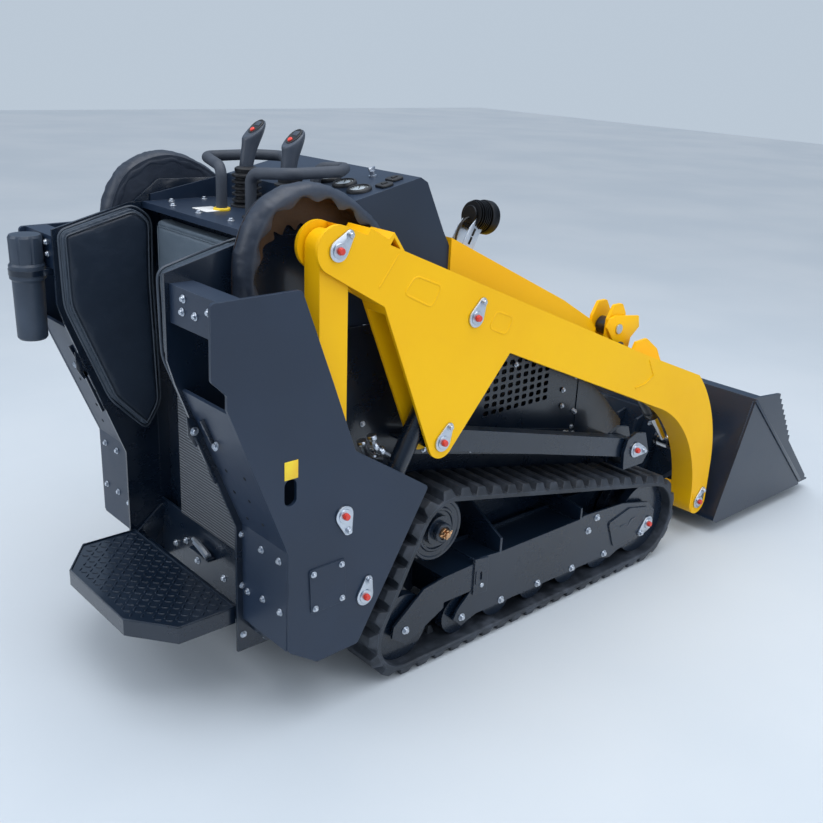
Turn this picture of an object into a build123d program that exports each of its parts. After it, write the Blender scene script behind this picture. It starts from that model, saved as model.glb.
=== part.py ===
from build123d import *
from math import atan2, degrees, hypot
import os

os.makedirs("parts", exist_ok=True)

# Mini skid steer loader, millimetres, +X forward, +Y to its left, +Z up, ground at Z = 0
# Pins of the lift linkage in side view (X, Z)
REAR_CHASSIS_PIN = (-1023, 588)
REAR_ARM_PIN = (-1032, 1253)
FRONT_ARM_PIN = (-663, 693)
FRONT_CHASSIS_PIN = (250, 455)
LIFT_BASE_PIN = (-948, 332)
LIFT_ROD_PIN = (-565, 1029)
COUPLER_PIN = (690, 144)
TILT_BASE_PIN = (256, 845)
TILT_ROD_PIN = (711, 324)
PLATFORM_PIN = (-1172, 236)

# Track loop in side view: wheel centres and belt radii
SPROCKET = (-628, 403)
SPROCKET_R = 104
IDLER = (354, 166)
IDLER_R = 128
TAIL_WHEEL = (-766, 140)
TAIL_R = 102
BELT_T = 16
LUG_H = 22
LUG_ROOT = 48
LUG_TIP = 30
LUG_PITCH = 72
ROLLER_R = 62
ROLLER_X = -541
ROLLER_PITCH = 169
ROLLER_COUNT = 5

# Widths from the middle plane, outward
TRACK_OUT = 505
TRACK_W = 180
TRACK_GAP = 17
PLATE = 8
WALL_OUT = TRACK_OUT - TRACK_W - TRACK_GAP
WALL_IN = WALL_OUT - PLATE
TRACK_IN = TRACK_OUT - TRACK_W
TRACK_MID = TRACK_OUT - TRACK_W / 2
FRAME_INSET = 17
FRAME_OUT = TRACK_OUT - FRAME_INSET
FRAME_IN = TRACK_IN + FRAME_INSET
ARM_INSET = 20
ARM_W = 90
ARM_PLATE = 10
ARM_OUT = TRACK_OUT - ARM_INSET
ARM_IN = ARM_OUT - ARM_W
LANE_MID = ARM_OUT - ARM_W / 2
LINK_W = 50
SHIELD_IN = TRACK_OUT + 3
SHIELD_T = 10
BUCKET_HALF = TRACK_OUT + 20
PLATFORM_HALF = WALL_IN - 14
TILT_MID = WALL_IN
TILT_W = 44

# Pins and running gaps
PIN_R = 16
PIN_GAP = 0.4
SIDE_GAP = 5
SEAT_GAP = 0.3
ARM_GAP = 7
TOWER_OUT = ARM_IN - ARM_GAP
SIDES = (("right", -1), ("left", 1))


def side_plane(inner, outer, side):
    """Plane whose sketch lies in X and Z, and whose extrusion runs towards -Y."""
    start = inner if side < 0 else -outer
    return Plane.XZ.offset(start)


def slab(points, inner, outer, side, radius=0):
    """Flat plate with a polygon outline, between two widths on one side."""
    with BuildPart() as plate:
        with BuildSketch(side_plane(inner, outer, side)) as outline:
            with BuildLine():
                Polyline(*points, close=True)
            make_face()
            if radius:
                fillet(outline.vertices(), radius)
        extrude(amount=outer - inner)
    return plate.part


def upright(rear, front, low, high, half):
    """Box across the machine, between two X and two Z."""
    return slab(((rear, low), (front, low), (front, high), (rear, high)), -half, half, -1)


def disc(centre, radius, inner, outer, side, bore=0):
    """Round boss, pin or wheel lying across the machine."""
    with BuildPart() as wheel:
        with BuildSketch(side_plane(inner, outer, side)):
            with Locations(centre):
                Circle(radius)
                if bore:
                    Circle(bore, mode=Mode.SUBTRACT)
        extrude(amount=outer - inner)
    return wheel.part


def bar(start, end, radius, inner, outer, side, bores):
    """Link with round ends, each with its own bore."""
    length = hypot(end[0] - start[0], end[1] - start[1])
    angle = degrees(atan2(end[1] - start[1], end[0] - start[0]))
    middle = ((start[0] + end[0]) / 2, (start[1] + end[1]) / 2)
    with BuildPart() as link:
        with BuildSketch(side_plane(inner, outer, side)):
            with Locations(Location((middle[0], middle[1]), angle)):
                SlotCenterToCenter(length, 2 * radius)
            for centre, bore in zip((start, end), bores):
                with Locations(centre):
                    Circle(bore, mode=Mode.SUBTRACT)
        extrude(amount=outer - inner)
    return link.part


def tube(start, end, y, radius):
    """Round bar between two side view points at one width."""
    direction = Vector(end[0] - start[0], 0, end[1] - start[1])
    plane = Plane(origin=(start[0], y, start[1]), x_dir=(0, 1, 0), z_dir=direction)
    with BuildPart() as pipe:
        with BuildSketch(plane):
            Circle(radius)
        extrude(amount=direction.length)
    return pipe.part


def along(start, end, distance):
    """Point at a distance from start towards end."""
    share = distance / hypot(end[0] - start[0], end[1] - start[1])
    return (start[0] + share * (end[0] - start[0]), start[1] + share * (end[1] - start[1]))


def save(solid, name):
    solid.label = name
    export_step(solid, f"parts/{name}.step")


# Tracks
LOOP_WHEELS = ((SPROCKET, SPROCKET_R), (IDLER, IDLER_R), (TAIL_WHEEL, TAIL_R))
BELT_IN = LUG_H + BELT_T


def loop_face(extra):
    """Face inside a band that wraps the three wheels, drawn extra millimetres out."""
    with BuildSketch(Plane.XY) as hull:
        for centre, radius in LOOP_WHEELS:
            with Locations(centre):
                Circle(radius + extra)
        make_hull()
    return hull.sketch


belt_path = loop_face(BELT_T).faces()[0].outer_wire()
lug_count = round(belt_path.length / LUG_PITCH)


def lug_places(wire):
    """Points and directions for lugs, even along a wire."""
    for index in range(lug_count):
        share = (index + 0.5) / lug_count
        point = wire.position_at(share)
        run = wire.tangent_at(share)
        yield (point.X, point.Y), degrees(atan2(run.Y, run.X))


LUG_OUTLINE = (
    (-LUG_ROOT / 2, BELT_T / 2), (LUG_ROOT / 2, BELT_T / 2), (LUG_ROOT / 2, 0), (LUG_TIP / 2, -LUG_H),
    (-LUG_TIP / 2, -LUG_H), (-LUG_ROOT / 2, 0),
)
for name, side in SIDES:
    with BuildPart() as band:
        with BuildSketch(side_plane(TRACK_IN, TRACK_OUT, side)):
            add(loop_face(BELT_T))
            for point, angle in lug_places(belt_path):
                with Locations(Location(point, angle)):
                    Polygon(*LUG_OUTLINE, align=None)
            add(loop_face(0), mode=Mode.SUBTRACT)
        extrude(amount=TRACK_W)
    save(band.part, f"track_{name}")

# Drive sprockets, front idlers and rollers
AXLE_R = 18
ROLLER_AXLE_R = 11
AXLE_GAP = 0.2
WHEEL_GAP = 0.4
MOTOR_R = 72
MOTOR_END = TRACK_MID - 30
SPROCKET_TEETH = 11
SPROCKET_HALF = 18
TOOTH_L = 26
TOOTH_W = 26
DRUM_INSET = 22
FLANGE_R = 76
FLANGE_T = 10
TOOTH_INSET = 16
HUB_R = 46
HUB_OUT = TRACK_OUT - 42
NUT_R = 30
NUT_T = 12
RIM_IN = 22
RIM_OUT = 52
GUIDE_H = 34
ROLLERS = tuple((ROLLER_X + index * ROLLER_PITCH, BELT_IN + ROLLER_R) for index in range(ROLLER_COUNT))


def wheel(centre, radius, groove, bore, side):
    """Wheel that runs on the belt with two rims and a groove for the lugs inside it."""
    with BuildPart() as stack:
        add(disc(centre, radius - groove, TRACK_MID - RIM_IN, TRACK_MID + RIM_IN, side, bore))
        for inner in (-RIM_OUT, RIM_IN):
            rim_in = TRACK_MID + inner
            add(disc(centre, radius - WHEEL_GAP, rim_in, rim_in + RIM_OUT - RIM_IN, side, bore))
    return stack.part


for name, side in SIDES:
    with BuildPart() as sprocket:
        with BuildSketch(side_plane(TRACK_MID - SPROCKET_HALF, TRACK_MID + SPROCKET_HALF, side)):
            with Locations(SPROCKET):
                Circle(SPROCKET_R - DRUM_INSET)
                with PolarLocations(SPROCKET_R - TOOTH_INSET, SPROCKET_TEETH):
                    Rectangle(TOOTH_L, TOOTH_W)
        extrude(amount=2 * SPROCKET_HALF)
        add(disc(SPROCKET, FLANGE_R, TRACK_MID + SPROCKET_HALF, TRACK_MID + SPROCKET_HALF + FLANGE_T, side))
        add(disc(SPROCKET, HUB_R, MOTOR_END, HUB_OUT, side))
        add(disc(SPROCKET, NUT_R, HUB_OUT, HUB_OUT + NUT_T, side))
    save(sprocket.part, f"sprocket_{name}")
    save(wheel(IDLER, IDLER_R, GUIDE_H, AXLE_R + AXLE_GAP, side), f"idler_{name}")
    with BuildPart() as rollers:
        for centre in ROLLERS:
            add(wheel(centre, ROLLER_R, GUIDE_H, ROLLER_AXLE_R + AXLE_GAP, side))
        add(wheel(TAIL_WHEEL, TAIL_R, 2 * GUIDE_H, AXLE_R + AXLE_GAP, side))
    save(rollers.part, f"track_rollers_{name}")

# Track frames: box beam, two skirt plates, tail arm, idler yoke, cross braces and raised covers
SKIRT = (
    (-505, 282), (-505, 180), (-560, 130), (-575, 103), (-541, 70), (-480, 90), (110, 90),
    (170, 75), (210, 90), (310, 102), (370, 118), (405, 150), (405, 190), (360, 232),
    (211, 267), (5, 279), (-12, 272), (-389, 272),
)
BEAM = ((-625, 178), (60, 178), (60, 262), (-505, 266), (-625, 262))
TAIL_ARM = ((-815, 130), (-760, 90), (-620, 160), (-620, 262), (-700, 250), (-810, 165))
TENSION_COVER = ((-503, 283), (-445, 274), (-445, 158), (-503, 164))
TENSION_SLOT = (-474, 219)
TENSION_SLOT_SIZE = (30, 9)
IDLER_COVER = ((138, 214), (252, 240), (350, 218), (386, 190), (386, 154), (345, 122), (180, 112))
COVER_T = 5
CROSS_TUBES = (
    ((-625, 160), (-518, 160), (-518, 250), (-625, 250)),
    ((-60, 190), (60, 190), (60, 262), (-60, 262)),
)
BRACES = ((-390, 415, 318), (-12, 335, 311))
BRACE_FOOT = 262
for name, side in SIDES:
    with BuildPart() as frame:
        for inner in (FRAME_IN, FRAME_OUT - PLATE):
            add(slab(SKIRT, inner, inner + PLATE, side))
            add(slab(TAIL_ARM, inner, inner + PLATE, side))
        add(slab(BEAM, FRAME_IN, FRAME_OUT, side))
        add(slab(IDLER_COVER, FRAME_OUT, FRAME_OUT + COVER_T, side, 12))
        add(slab(TENSION_COVER, FRAME_OUT, FRAME_OUT + COVER_T, side))
        for outline in CROSS_TUBES:
            add(slab(outline, WALL_OUT, FRAME_IN, side))
        for x, wall_z, outer_z in BRACES:
            with BuildSketch(Plane.YZ.offset(x - PLATE / 2)):
                with BuildLine():
                    Polyline(
                        (side * WALL_OUT, BRACE_FOOT), (side * WALL_OUT, wall_z),
                        (side * FRAME_OUT, outer_z), (side * FRAME_OUT, BRACE_FOOT), close=True,
                    )
                make_face()
            extrude(amount=PLATE)
        with BuildSketch(side_plane(FRAME_OUT, FRAME_OUT + COVER_T, side)):
            with Locations(TENSION_SLOT):
                SlotOverall(*TENSION_SLOT_SIZE, rotation=90)
        extrude(amount=COVER_T, mode=Mode.SUBTRACT)
        for centre in (IDLER, TAIL_WHEEL):
            add(disc(centre, AXLE_R, FRAME_IN, FRAME_OUT, side))
        for centre in ROLLERS:
            add(disc(centre, ROLLER_AXLE_R, FRAME_IN, FRAME_OUT, side))
    save(frame.part, f"track_frame_{name}")

# Main frame: hull plates, belly, towers for the lift pins and brackets for the front links
HULL_REAR = -1100
HULL_FRONT = 392
HULL_LOW = 143
CONSOLE_LOW = 1000
WALL_LOW = 760
WALL_FRONT = -1000
HOOD_REAR = -500
GRILLE_REAR = -480
GRILLE_FRONT = 130
HULL = (
    (HULL_REAR, 150), (-1080, HULL_LOW), (330, HULL_LOW), (HULL_FRONT, 205), (HULL_FRONT, 480), (268, 597),
    (195, 652), (152, 714), (GRILLE_FRONT, 735), (GRILLE_FRONT, 500), (GRILLE_REAR, 640), (GRILLE_REAR, 976),
    (HOOD_REAR, 984), (HOOD_REAR, CONSOLE_LOW), (WALL_FRONT, CONSOLE_LOW), (WALL_FRONT, WALL_LOW),
    (HULL_REAR, WALL_LOW),
)
BELLY = ((-1080, HULL_LOW), (330, HULL_LOW), (330, HULL_LOW + PLATE), (-1080, HULL_LOW + PLATE))
TOWER = ((-1170, 215), (-985, 200), (-880, 330), (-866, 560), (-930, 700), (-1170, 520))
BULKHEADS = ((HULL_FRONT - PLATE, 195, 385), (-480, HULL_LOW, 450), (HULL_REAR, 150, 350))
LINK_LANE = (LANE_MID - LINK_W / 2, LANE_MID + LINK_W / 2)
LIFT_LANE = (LANE_MID - 26, LANE_MID + 26)
BOSS_R = 44
BRACKET_T = 12
BRACKET_IN = LINK_LANE[0] - SIDE_GAP - BRACKET_T
BRACKET_OUT = LINK_LANE[1] + SIDE_GAP
BRACKET = ((196, 395), (305, 395), (330, 430), (300, 505), (250, 516), (205, 500), (190, 455))
BRACKET_FOOT = ((200, 393), (300, 393), (300, 405), (200, 405))
BRACKET_ROOT = ((205, 400), (300, 400), (300, 449), (205, 470))
with BuildPart() as main_frame:
    for name, side in SIDES:
        add(slab(HULL, WALL_IN, WALL_OUT, side))
        add(slab(TOWER, WALL_OUT, TOWER_OUT, side))
        add(disc(LIFT_BASE_PIN, BOSS_R, TOWER_OUT, LIFT_LANE[0] - SIDE_GAP, side))
        add(disc(LIFT_BASE_PIN, PIN_R, TOWER_OUT, SHIELD_IN, side))
        add(disc(SPROCKET, MOTOR_R, WALL_OUT, MOTOR_END, side))
        for inner in (BRACKET_IN, BRACKET_OUT):
            add(slab(BRACKET, inner, inner + BRACKET_T, side))
        add(slab(BRACKET_FOOT, BRACKET_IN, BRACKET_OUT + BRACKET_T, side))
        add(slab(BRACKET_ROOT, WALL_OUT, BRACKET_IN, side))
        add(disc(FRONT_CHASSIS_PIN, PIN_R, BRACKET_IN, BRACKET_OUT + BRACKET_T, side))
    add(slab(BELLY, -WALL_IN, WALL_IN, -1))
    for x, low, high in BULKHEADS:
        add(upright(x, x + PLATE, low, high, WALL_IN))
save(main_frame.part, "main_frame")

# Nose plate under the crossmember, between the hull plates
NOSE_X = 150
NOSE_TOP = 735
NOSE_T = 6
NOSE_LOW = 390
NOSE_FRONT = HULL_FRONT - 4
NOSE = (
    (NOSE_X, NOSE_TOP), (NOSE_X, 712), (193, 649), (265, 595), (NOSE_FRONT, 479), (NOSE_FRONT, NOSE_LOW),
    (NOSE_FRONT - NOSE_T, NOSE_LOW), (NOSE_FRONT - NOSE_T, 476), (261, 591), (189, 645),
    (NOSE_X - NOSE_T, 710), (NOSE_X - NOSE_T, NOSE_TOP),
)
save(slab(NOSE, -(WALL_IN - SEAT_GAP), WALL_IN - SEAT_GAP, -1), "nose_plate")

# Side shields with rear flanges, slot, raised access plate and top bracket
SHIELD = (
    (-1390, 1180), (-1156, 1182), (-1064, 950), (-990, 755), (-882, 687), (-735, 592), (-966, 193),
    (-1099, 188), (-1188, 249), (-1190, 528), (-1354, 934), (-1353, 968), (-1392, 1007),
)
LOWER_FLANGE = ((-1190, 249), (-1182, 249), (-1182, 530), (-1190, 530))
UPPER_FLANGE = ((-1190, 530), (-1182, 530), (-1340, 925), (-1348, 922))
ACCESS_IN = SHIELD_IN + SHIELD_T
CANISTER_X = -1418
CANISTER_CAP_R = 46
BRACKET_REAR = CANISTER_X + CANISTER_CAP_R + 2 * SEAT_GAP
TOP_BRACKET = (
    (BRACKET_REAR, 1090), (BRACKET_REAR + PLATE, 1090), (BRACKET_REAR + PLATE, 1180 - PLATE),
    (-1310, 1180 - PLATE), (-1310, 1180), (BRACKET_REAR, 1180),
)
ACCESS_PLATE = ((-1130, 465), (-1016, 466), (-1012, 342), (-1122, 339))
SHIELD_SLOT = (-1185, 693)
SHIELD_SLOT_SIZE = (71, 36)
SHIELD_CORNER = 12
ACCESS_T = 4
for name, side in SIDES:
    with BuildPart() as shield:
        add(slab(SHIELD, SHIELD_IN, SHIELD_IN + SHIELD_T, side, SHIELD_CORNER))
        for outline in (LOWER_FLANGE, UPPER_FLANGE, TOP_BRACKET):
            add(slab(outline, WALL_OUT, SHIELD_IN, side))
        add(slab(ACCESS_PLATE, ACCESS_IN, ACCESS_IN + ACCESS_T, side, 8))
        with BuildSketch(side_plane(SHIELD_IN, SHIELD_IN + SHIELD_T, side)):
            with Locations(SHIELD_SLOT):
                SlotOverall(*SHIELD_SLOT_SIZE, rotation=90)
        extrude(amount=SHIELD_T, mode=Mode.SUBTRACT)
    save(shield.part, f"side_shield_{name}")

# Operator walls beside the thighs
OPERATOR_WALL = (
    (-1207, 150), (-1207, 525), (-1365, 940), (-1383, 1000), (-1383, 1204), (-1161, 1262),
    (WALL_FRONT, 1262), (WALL_FRONT, WALL_LOW), (HULL_REAR, WALL_LOW), (HULL_REAR, 150),
)
for name, side in SIDES:
    save(slab(OPERATOR_WALL, WALL_IN, WALL_OUT, side), f"operator_wall_{name}")

# Thigh pads
PAD_T = 45
PAD_R = 20
PAD = (
    (-1383, 1210), (-1161, 1267), (-1104, 1222), (-1108, 1047), (-1098, 676), (-1153, 592), (-1265, 709),
    (-1380, 1000),
)
for name, side in SIDES:
    save(slab(PAD, WALL_IN - SEAT_GAP - PAD_T, WALL_IN - SEAT_GAP, side, PAD_R), f"thigh_pad_{name}")

# Bulkhead, radiator and centre pad
BULKHEAD_X = HULL_REAR + 40
BULKHEAD_LOW = 155
BULKHEAD_TOP = 1244
RADIATOR_T = 44
RADIATOR_HALF = 160
RADIATOR_LOW = 355
RADIATOR_TOP = 995
RADIATOR_LAP = 20
WINDOW_LOW = RADIATOR_LOW + RADIATOR_LAP
WINDOW_TOP = RADIATOR_TOP - RADIATOR_LAP
PAD_HALF = WALL_IN - PAD_T - SIDE_GAP
CENTRE_PAD_LOW = 1042
CENTRE_PAD_TOP = 1228
CENTRE_PAD_T = 50
CENTRE_PAD_R = 14


BULKHEAD_REAR = BULKHEAD_X - PLATE / 2
PAD_REAR = BULKHEAD_REAR - SEAT_GAP - CENTRE_PAD_T
with BuildPart() as bulkhead:
    add(upright(BULKHEAD_REAR, BULKHEAD_REAR + PLATE, BULKHEAD_LOW, BULKHEAD_TOP, WALL_IN - SEAT_GAP))
    add(
        upright(BULKHEAD_REAR, BULKHEAD_REAR + PLATE, WINDOW_LOW, WINDOW_TOP, RADIATOR_HALF - RADIATOR_LAP),
        mode=Mode.SUBTRACT,
    )
save(bulkhead.part, "bulkhead")
RADIATOR_REAR = BULKHEAD_REAR - RADIATOR_T
save(upright(RADIATOR_REAR, BULKHEAD_REAR, RADIATOR_LOW, RADIATOR_TOP, RADIATOR_HALF), "radiator")
with BuildPart() as centre_pad:
    add(upright(PAD_REAR, PAD_REAR + CENTRE_PAD_T, CENTRE_PAD_LOW, CENTRE_PAD_TOP, PAD_HALF))
    fillet(centre_pad.edges(), CENTRE_PAD_R)
save(centre_pad.part, "centre_pad")

# Engine
ENGINE_REAR = -450
ENGINE_FRONT = 70
ENGINE_LOW = 200
ENGINE_TOP = 780
ENGINE_HALF = 230
SUMP_INSET = 40
SUMP_HALF = 120
with BuildPart() as engine:
    add(upright(ENGINE_REAR, ENGINE_FRONT, ENGINE_LOW, ENGINE_TOP, ENGINE_HALF))
    add(upright(ENGINE_REAR + SUMP_INSET, ENGINE_FRONT - SUMP_INSET, HULL_LOW + PLATE, ENGINE_LOW, SUMP_HALF))
save(engine.part, "engine_block")

# Console housing with its deck, dash and raised side rims
DECK_Z = 1263
DECK_FRONT = -862
CONSOLE_T = 6
CONSOLE_REAR = BULKHEAD_REAR + PLATE
CONSOLE_LIP = 18
DASH_LOW = (-843, 1328)
DASH_TOP = (-617, 1377)
CONSOLE = (
    (-1120, DECK_Z - CONSOLE_LIP), (-1120, DECK_Z), (DECK_FRONT, DECK_Z), DASH_LOW, DASH_TOP, (-592, 1363),
    (-525, 1228), (HOOD_REAR, 1185), (HOOD_REAR, CONSOLE_LOW), (CONSOLE_REAR, CONSOLE_LOW),
    (CONSOLE_REAR, DECK_Z - CONSOLE_LIP),
)
CONSOLE_INSIDE = (
    (CONSOLE_REAR + CONSOLE_T, CONSOLE_LOW - CONSOLE_T), (CONSOLE_REAR + CONSOLE_T, DECK_Z - CONSOLE_T),
    (DECK_FRONT + CONSOLE_T, DECK_Z - CONSOLE_T), (DASH_LOW[0] + 4, DASH_LOW[1] - CONSOLE_T),
    (DASH_TOP[0], DASH_TOP[1] - CONSOLE_T), (-597, 1360), (-532, 1226), (HOOD_REAR - CONSOLE_T, 1183),
    (HOOD_REAR - CONSOLE_T, CONSOLE_LOW - CONSOLE_T),
)
SIDE_RIM = (
    (-1096, DECK_Z - CONSOLE_T), (-1096, 1282), (-873, 1322), DASH_LOW, (DECK_FRONT, DECK_Z - CONSOLE_T),
)
CONSOLE_HALF = WALL_IN - 1
console_block = slab(CONSOLE, -CONSOLE_HALF, CONSOLE_HALF, -1)
with BuildPart() as console:
    add(console_block)
    add(slab(CONSOLE_INSIDE, -(CONSOLE_HALF - CONSOLE_T), CONSOLE_HALF - CONSOLE_T, -1), mode=Mode.SUBTRACT)
    for name, side in SIDES:
        add(slab(SIDE_RIM, CONSOLE_HALF - CONSOLE_T, CONSOLE_HALF, side))
save(console.part, "console")

# Hood
HOOD_T = 5
HOOD_OUT = WALL_OUT
HOOD = ((HOOD_REAR, 1208), (10, 966), (152, 886), (190, 848), (190, 800), (150, 738), (HOOD_REAR, 985))
HOOD_INSIDE = (
    (HOOD_REAR + HOOD_T, 1200), (9, 960), (149, 881), (184, 846), (184, 802), (142, 700),
    (HOOD_REAR + HOOD_T, 950),
)
with BuildPart() as hood:
    add(slab(HOOD, -HOOD_OUT, HOOD_OUT, -1))
    add(slab(HOOD_INSIDE, -(HOOD_OUT - HOOD_T), HOOD_OUT - HOOD_T, -1), mode=Mode.SUBTRACT)
save(hood.part, "hood")

# Perforated side panels
GRILLE = ((GRILLE_REAR, 640), (GRILLE_REAR, 976), (105, 754), (GRILLE_FRONT, 720), (GRILLE_FRONT, 500))
GRILLE_T = 5
GRILLE_MID = (-170, 720)
HOLE_HALF_W = 11
HOLE_HALF_H = 8
HOLE_CORNER = 4
HOLE_PITCH_X = 34
HOLE_PITCH_Z = 25
GRILLE_ROWS = 7
GRILLE_COLS = 9
HOLE = (
    (-HOLE_HALF_W, -HOLE_HALF_H + HOLE_CORNER), (-HOLE_HALF_W + HOLE_CORNER, -HOLE_HALF_H),
    (HOLE_HALF_W - HOLE_CORNER, -HOLE_HALF_H), (HOLE_HALF_W, -HOLE_HALF_H + HOLE_CORNER),
    (HOLE_HALF_W, HOLE_HALF_H - HOLE_CORNER), (HOLE_HALF_W - HOLE_CORNER, HOLE_HALF_H),
    (-HOLE_HALF_W + HOLE_CORNER, HOLE_HALF_H), (-HOLE_HALF_W, HOLE_HALF_H - HOLE_CORNER),
)
for name, side in SIDES:
    with BuildPart() as panel:
        add(slab(GRILLE, WALL_IN, WALL_IN + GRILLE_T, side))
        with BuildSketch(side_plane(WALL_IN, WALL_IN + GRILLE_T, side)):
            with Locations(GRILLE_MID):
                with GridLocations(HOLE_PITCH_X, HOLE_PITCH_Z, GRILLE_COLS, GRILLE_ROWS):
                    Polygon(*HOLE, align=None)
        extrude(amount=GRILLE_T, mode=Mode.SUBTRACT)
    save(panel.part, f"side_panel_{name}")

# Fenders
FENDER_T = 6
FENDER_REAR = (-700, 669)
FENDER_FRONT = (60, 487)
FENDER_LIP = 35


def fender_outline(depth):
    """Sloping band under the fender's top line."""
    return (
        FENDER_REAR, FENDER_FRONT, (FENDER_FRONT[0], FENDER_FRONT[1] - depth),
        (FENDER_REAR[0], FENDER_REAR[1] - depth),
    )


for name, side in SIDES:
    with BuildPart() as fender:
        add(slab(fender_outline(FENDER_T), WALL_OUT, TOWER_OUT, side))
        add(slab(fender_outline(FENDER_LIP), TOWER_OUT - FENDER_T, TOWER_OUT, side))
    save(fender.part, f"fender_{name}")

# Lift arms: two plates and a web that is open at the rear, with lug and swan neck
ARM_LUG = ((-630, 660), (-417, 906), (158, 666), (338, 590))
ARM_NECK_IN = ((338, 590), (560, 420), (640, 194))
ARM_TIP = ((640, 144), (690, 94), (740, 144))
ARM_NECK_OUT = ((740, 300), (690, 505), (577, 661))
ARM_TOP = ((577, 661), (269, 780), (-1010, 1308))
ARM_REAR = ((-1010, 1308), (-1088, 1273), (-1058, 1200))
ARM_BELLY = ((-1058, 1200), (-885, 1100), (-706, 673))
ARM_FOOT = ((-706, 673), (-671, 646), (-630, 660))
WEB_OPEN = (
    (-1200, 1400), (-1040, 1400), (-950, 1150), (-880, 1080), (-500, 900), (-560, 740), (-600, 560),
    (-1200, 560),
)
HOSE_GUARD = (
    (-950, 1276), (-934, 1297), (-880, 1266), (-862, 1281), (-822, 1225), (-832, 1225), (-862, 1268),
    (-874, 1251), (-880, 1244), (-945, 1268),
)
HOSE_BRACKET = ((268, 760), (292, 806), (350, 810), (415, 765), (462, 690), (300, 720))
COUPLER_BOSS_R = 50
COUPLER_SLEEVE_R = 38
COUPLER_EAR = (WALL_IN + 6, WALL_IN + 28)
ROD_BOSS_R = 30


def arm_outline(inset=0):
    """Side outline of a lift arm, drawn inset millimetres in."""
    with BuildSketch() as outline:
        with BuildLine():
            Polyline(*ARM_LUG)
            ThreePointArc(*ARM_NECK_IN)
            Line(ARM_NECK_IN[2], ARM_TIP[0])
            ThreePointArc(*ARM_TIP)
            Line(ARM_TIP[2], ARM_NECK_OUT[0])
            ThreePointArc(*ARM_NECK_OUT)
            Polyline(*ARM_TOP)
            ThreePointArc(*ARM_REAR)
            Polyline(*ARM_BELLY)
            ThreePointArc(*ARM_FOOT)
        make_face()
        if inset:
            offset(amount=-inset, mode=Mode.REPLACE)
    return outline.sketch


for name, side in SIDES:
    with BuildPart() as arm:
        for inner in (ARM_IN, ARM_OUT - ARM_PLATE):
            with BuildSketch(side_plane(inner, inner + ARM_PLATE, side)):
                add(arm_outline())
            extrude(amount=ARM_PLATE)
        with BuildSketch(side_plane(ARM_IN + ARM_PLATE, ARM_OUT - ARM_PLATE, side)):
            add(arm_outline())
            add(arm_outline(ARM_PLATE), mode=Mode.SUBTRACT)
            with BuildLine():
                Polyline(*WEB_OPEN, close=True)
            make_face(mode=Mode.SUBTRACT)
        extrude(amount=ARM_W - 2 * ARM_PLATE)
        add(slab(HOSE_GUARD, ARM_IN, ARM_OUT, side))
        add(slab(HOSE_BRACKET, ARM_IN, ARM_IN + ARM_PLATE, side))
        for pin in (REAR_ARM_PIN, FRONT_ARM_PIN):
            add(disc(pin, PIN_R, ARM_IN, ARM_OUT, side))
        add(disc(LIFT_ROD_PIN, ROD_BOSS_R, ARM_IN, LIFT_LANE[0] - SIDE_GAP, side))
        add(disc(LIFT_ROD_PIN, ROD_BOSS_R, LIFT_LANE[1] + SIDE_GAP, ARM_OUT, side))
        add(disc(COUPLER_PIN, COUPLER_BOSS_R, ARM_IN, ARM_OUT, side))
        add(disc(COUPLER_PIN, COUPLER_SLEEVE_R, COUPLER_EAR[1] + SIDE_GAP, ARM_IN, side))
        add(disc(COUPLER_PIN, PIN_R, WALL_IN, COUPLER_EAR[1] + SIDE_GAP, side))
    save(arm.part, f"arm_{name}")

# Crossmember and tilt ears
CROSS = (240, 705)
CROSS_R = 38
EAR_T = 12
EAR_R = 10
TILT_LANE = (TILT_MID - TILT_W / 2, TILT_MID + TILT_W / 2)
TILT_EARS = (TILT_LANE[0] - SIDE_GAP - EAR_T, TILT_LANE[1] + SIDE_GAP)
EAR = ((205, 700), (270, 700), (300, 800), (304, 890), (282, 926), (240, 926), (212, 880))
with BuildPart() as crossmember:
    for name, side in SIDES:
        for inner in TILT_EARS:
            add(slab(EAR, inner, inner + EAR_T, side, EAR_R))
        add(disc(TILT_BASE_PIN, PIN_R, TILT_EARS[0] + EAR_T, TILT_EARS[1], side))
    add(disc(CROSS, CROSS_R, -ARM_IN, ARM_IN, -1))
save(crossmember.part, "arm_crossmember")

# Rear links
REAR_LINK_R = 42
REAR_LINK_HALF = 30
REAR_LANE = (LANE_MID - REAR_LINK_HALF, LANE_MID + REAR_LINK_HALF)
with BuildPart() as rear_links:
    for name, side in SIDES:
        add(bar(REAR_CHASSIS_PIN, REAR_ARM_PIN, REAR_LINK_R, *REAR_LANE, side, (PIN_R + 2, PIN_R + PIN_GAP)))
save(rear_links.part, "rear_links")

# Front links
FRONT_LINK_R = 32
PIN_BORE = PIN_R + PIN_GAP
with BuildPart() as front_links:
    for name, side in SIDES:
        add(bar(FRONT_ARM_PIN, FRONT_CHASSIS_PIN, FRONT_LINK_R, *LINK_LANE, side, (PIN_BORE, PIN_BORE)))
save(front_links.part, "front_links")

# Hydraulic cylinders in pairs: barrels with base eyes, rods with end eyes
ROD_GAP = 0.4
CAP_T = 10
GLAND_T = 30
LIFT_CYLINDER = {"barrel": 28, "bore": 22, "rod": 17, "eye": 34, "neck": 62, "length": 690, "reach": 75}
TILT_CYLINDER = {"barrel": 28, "bore": 22, "rod": 17, "eye": 30, "neck": 76, "length": 520, "reach": 150}


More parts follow.
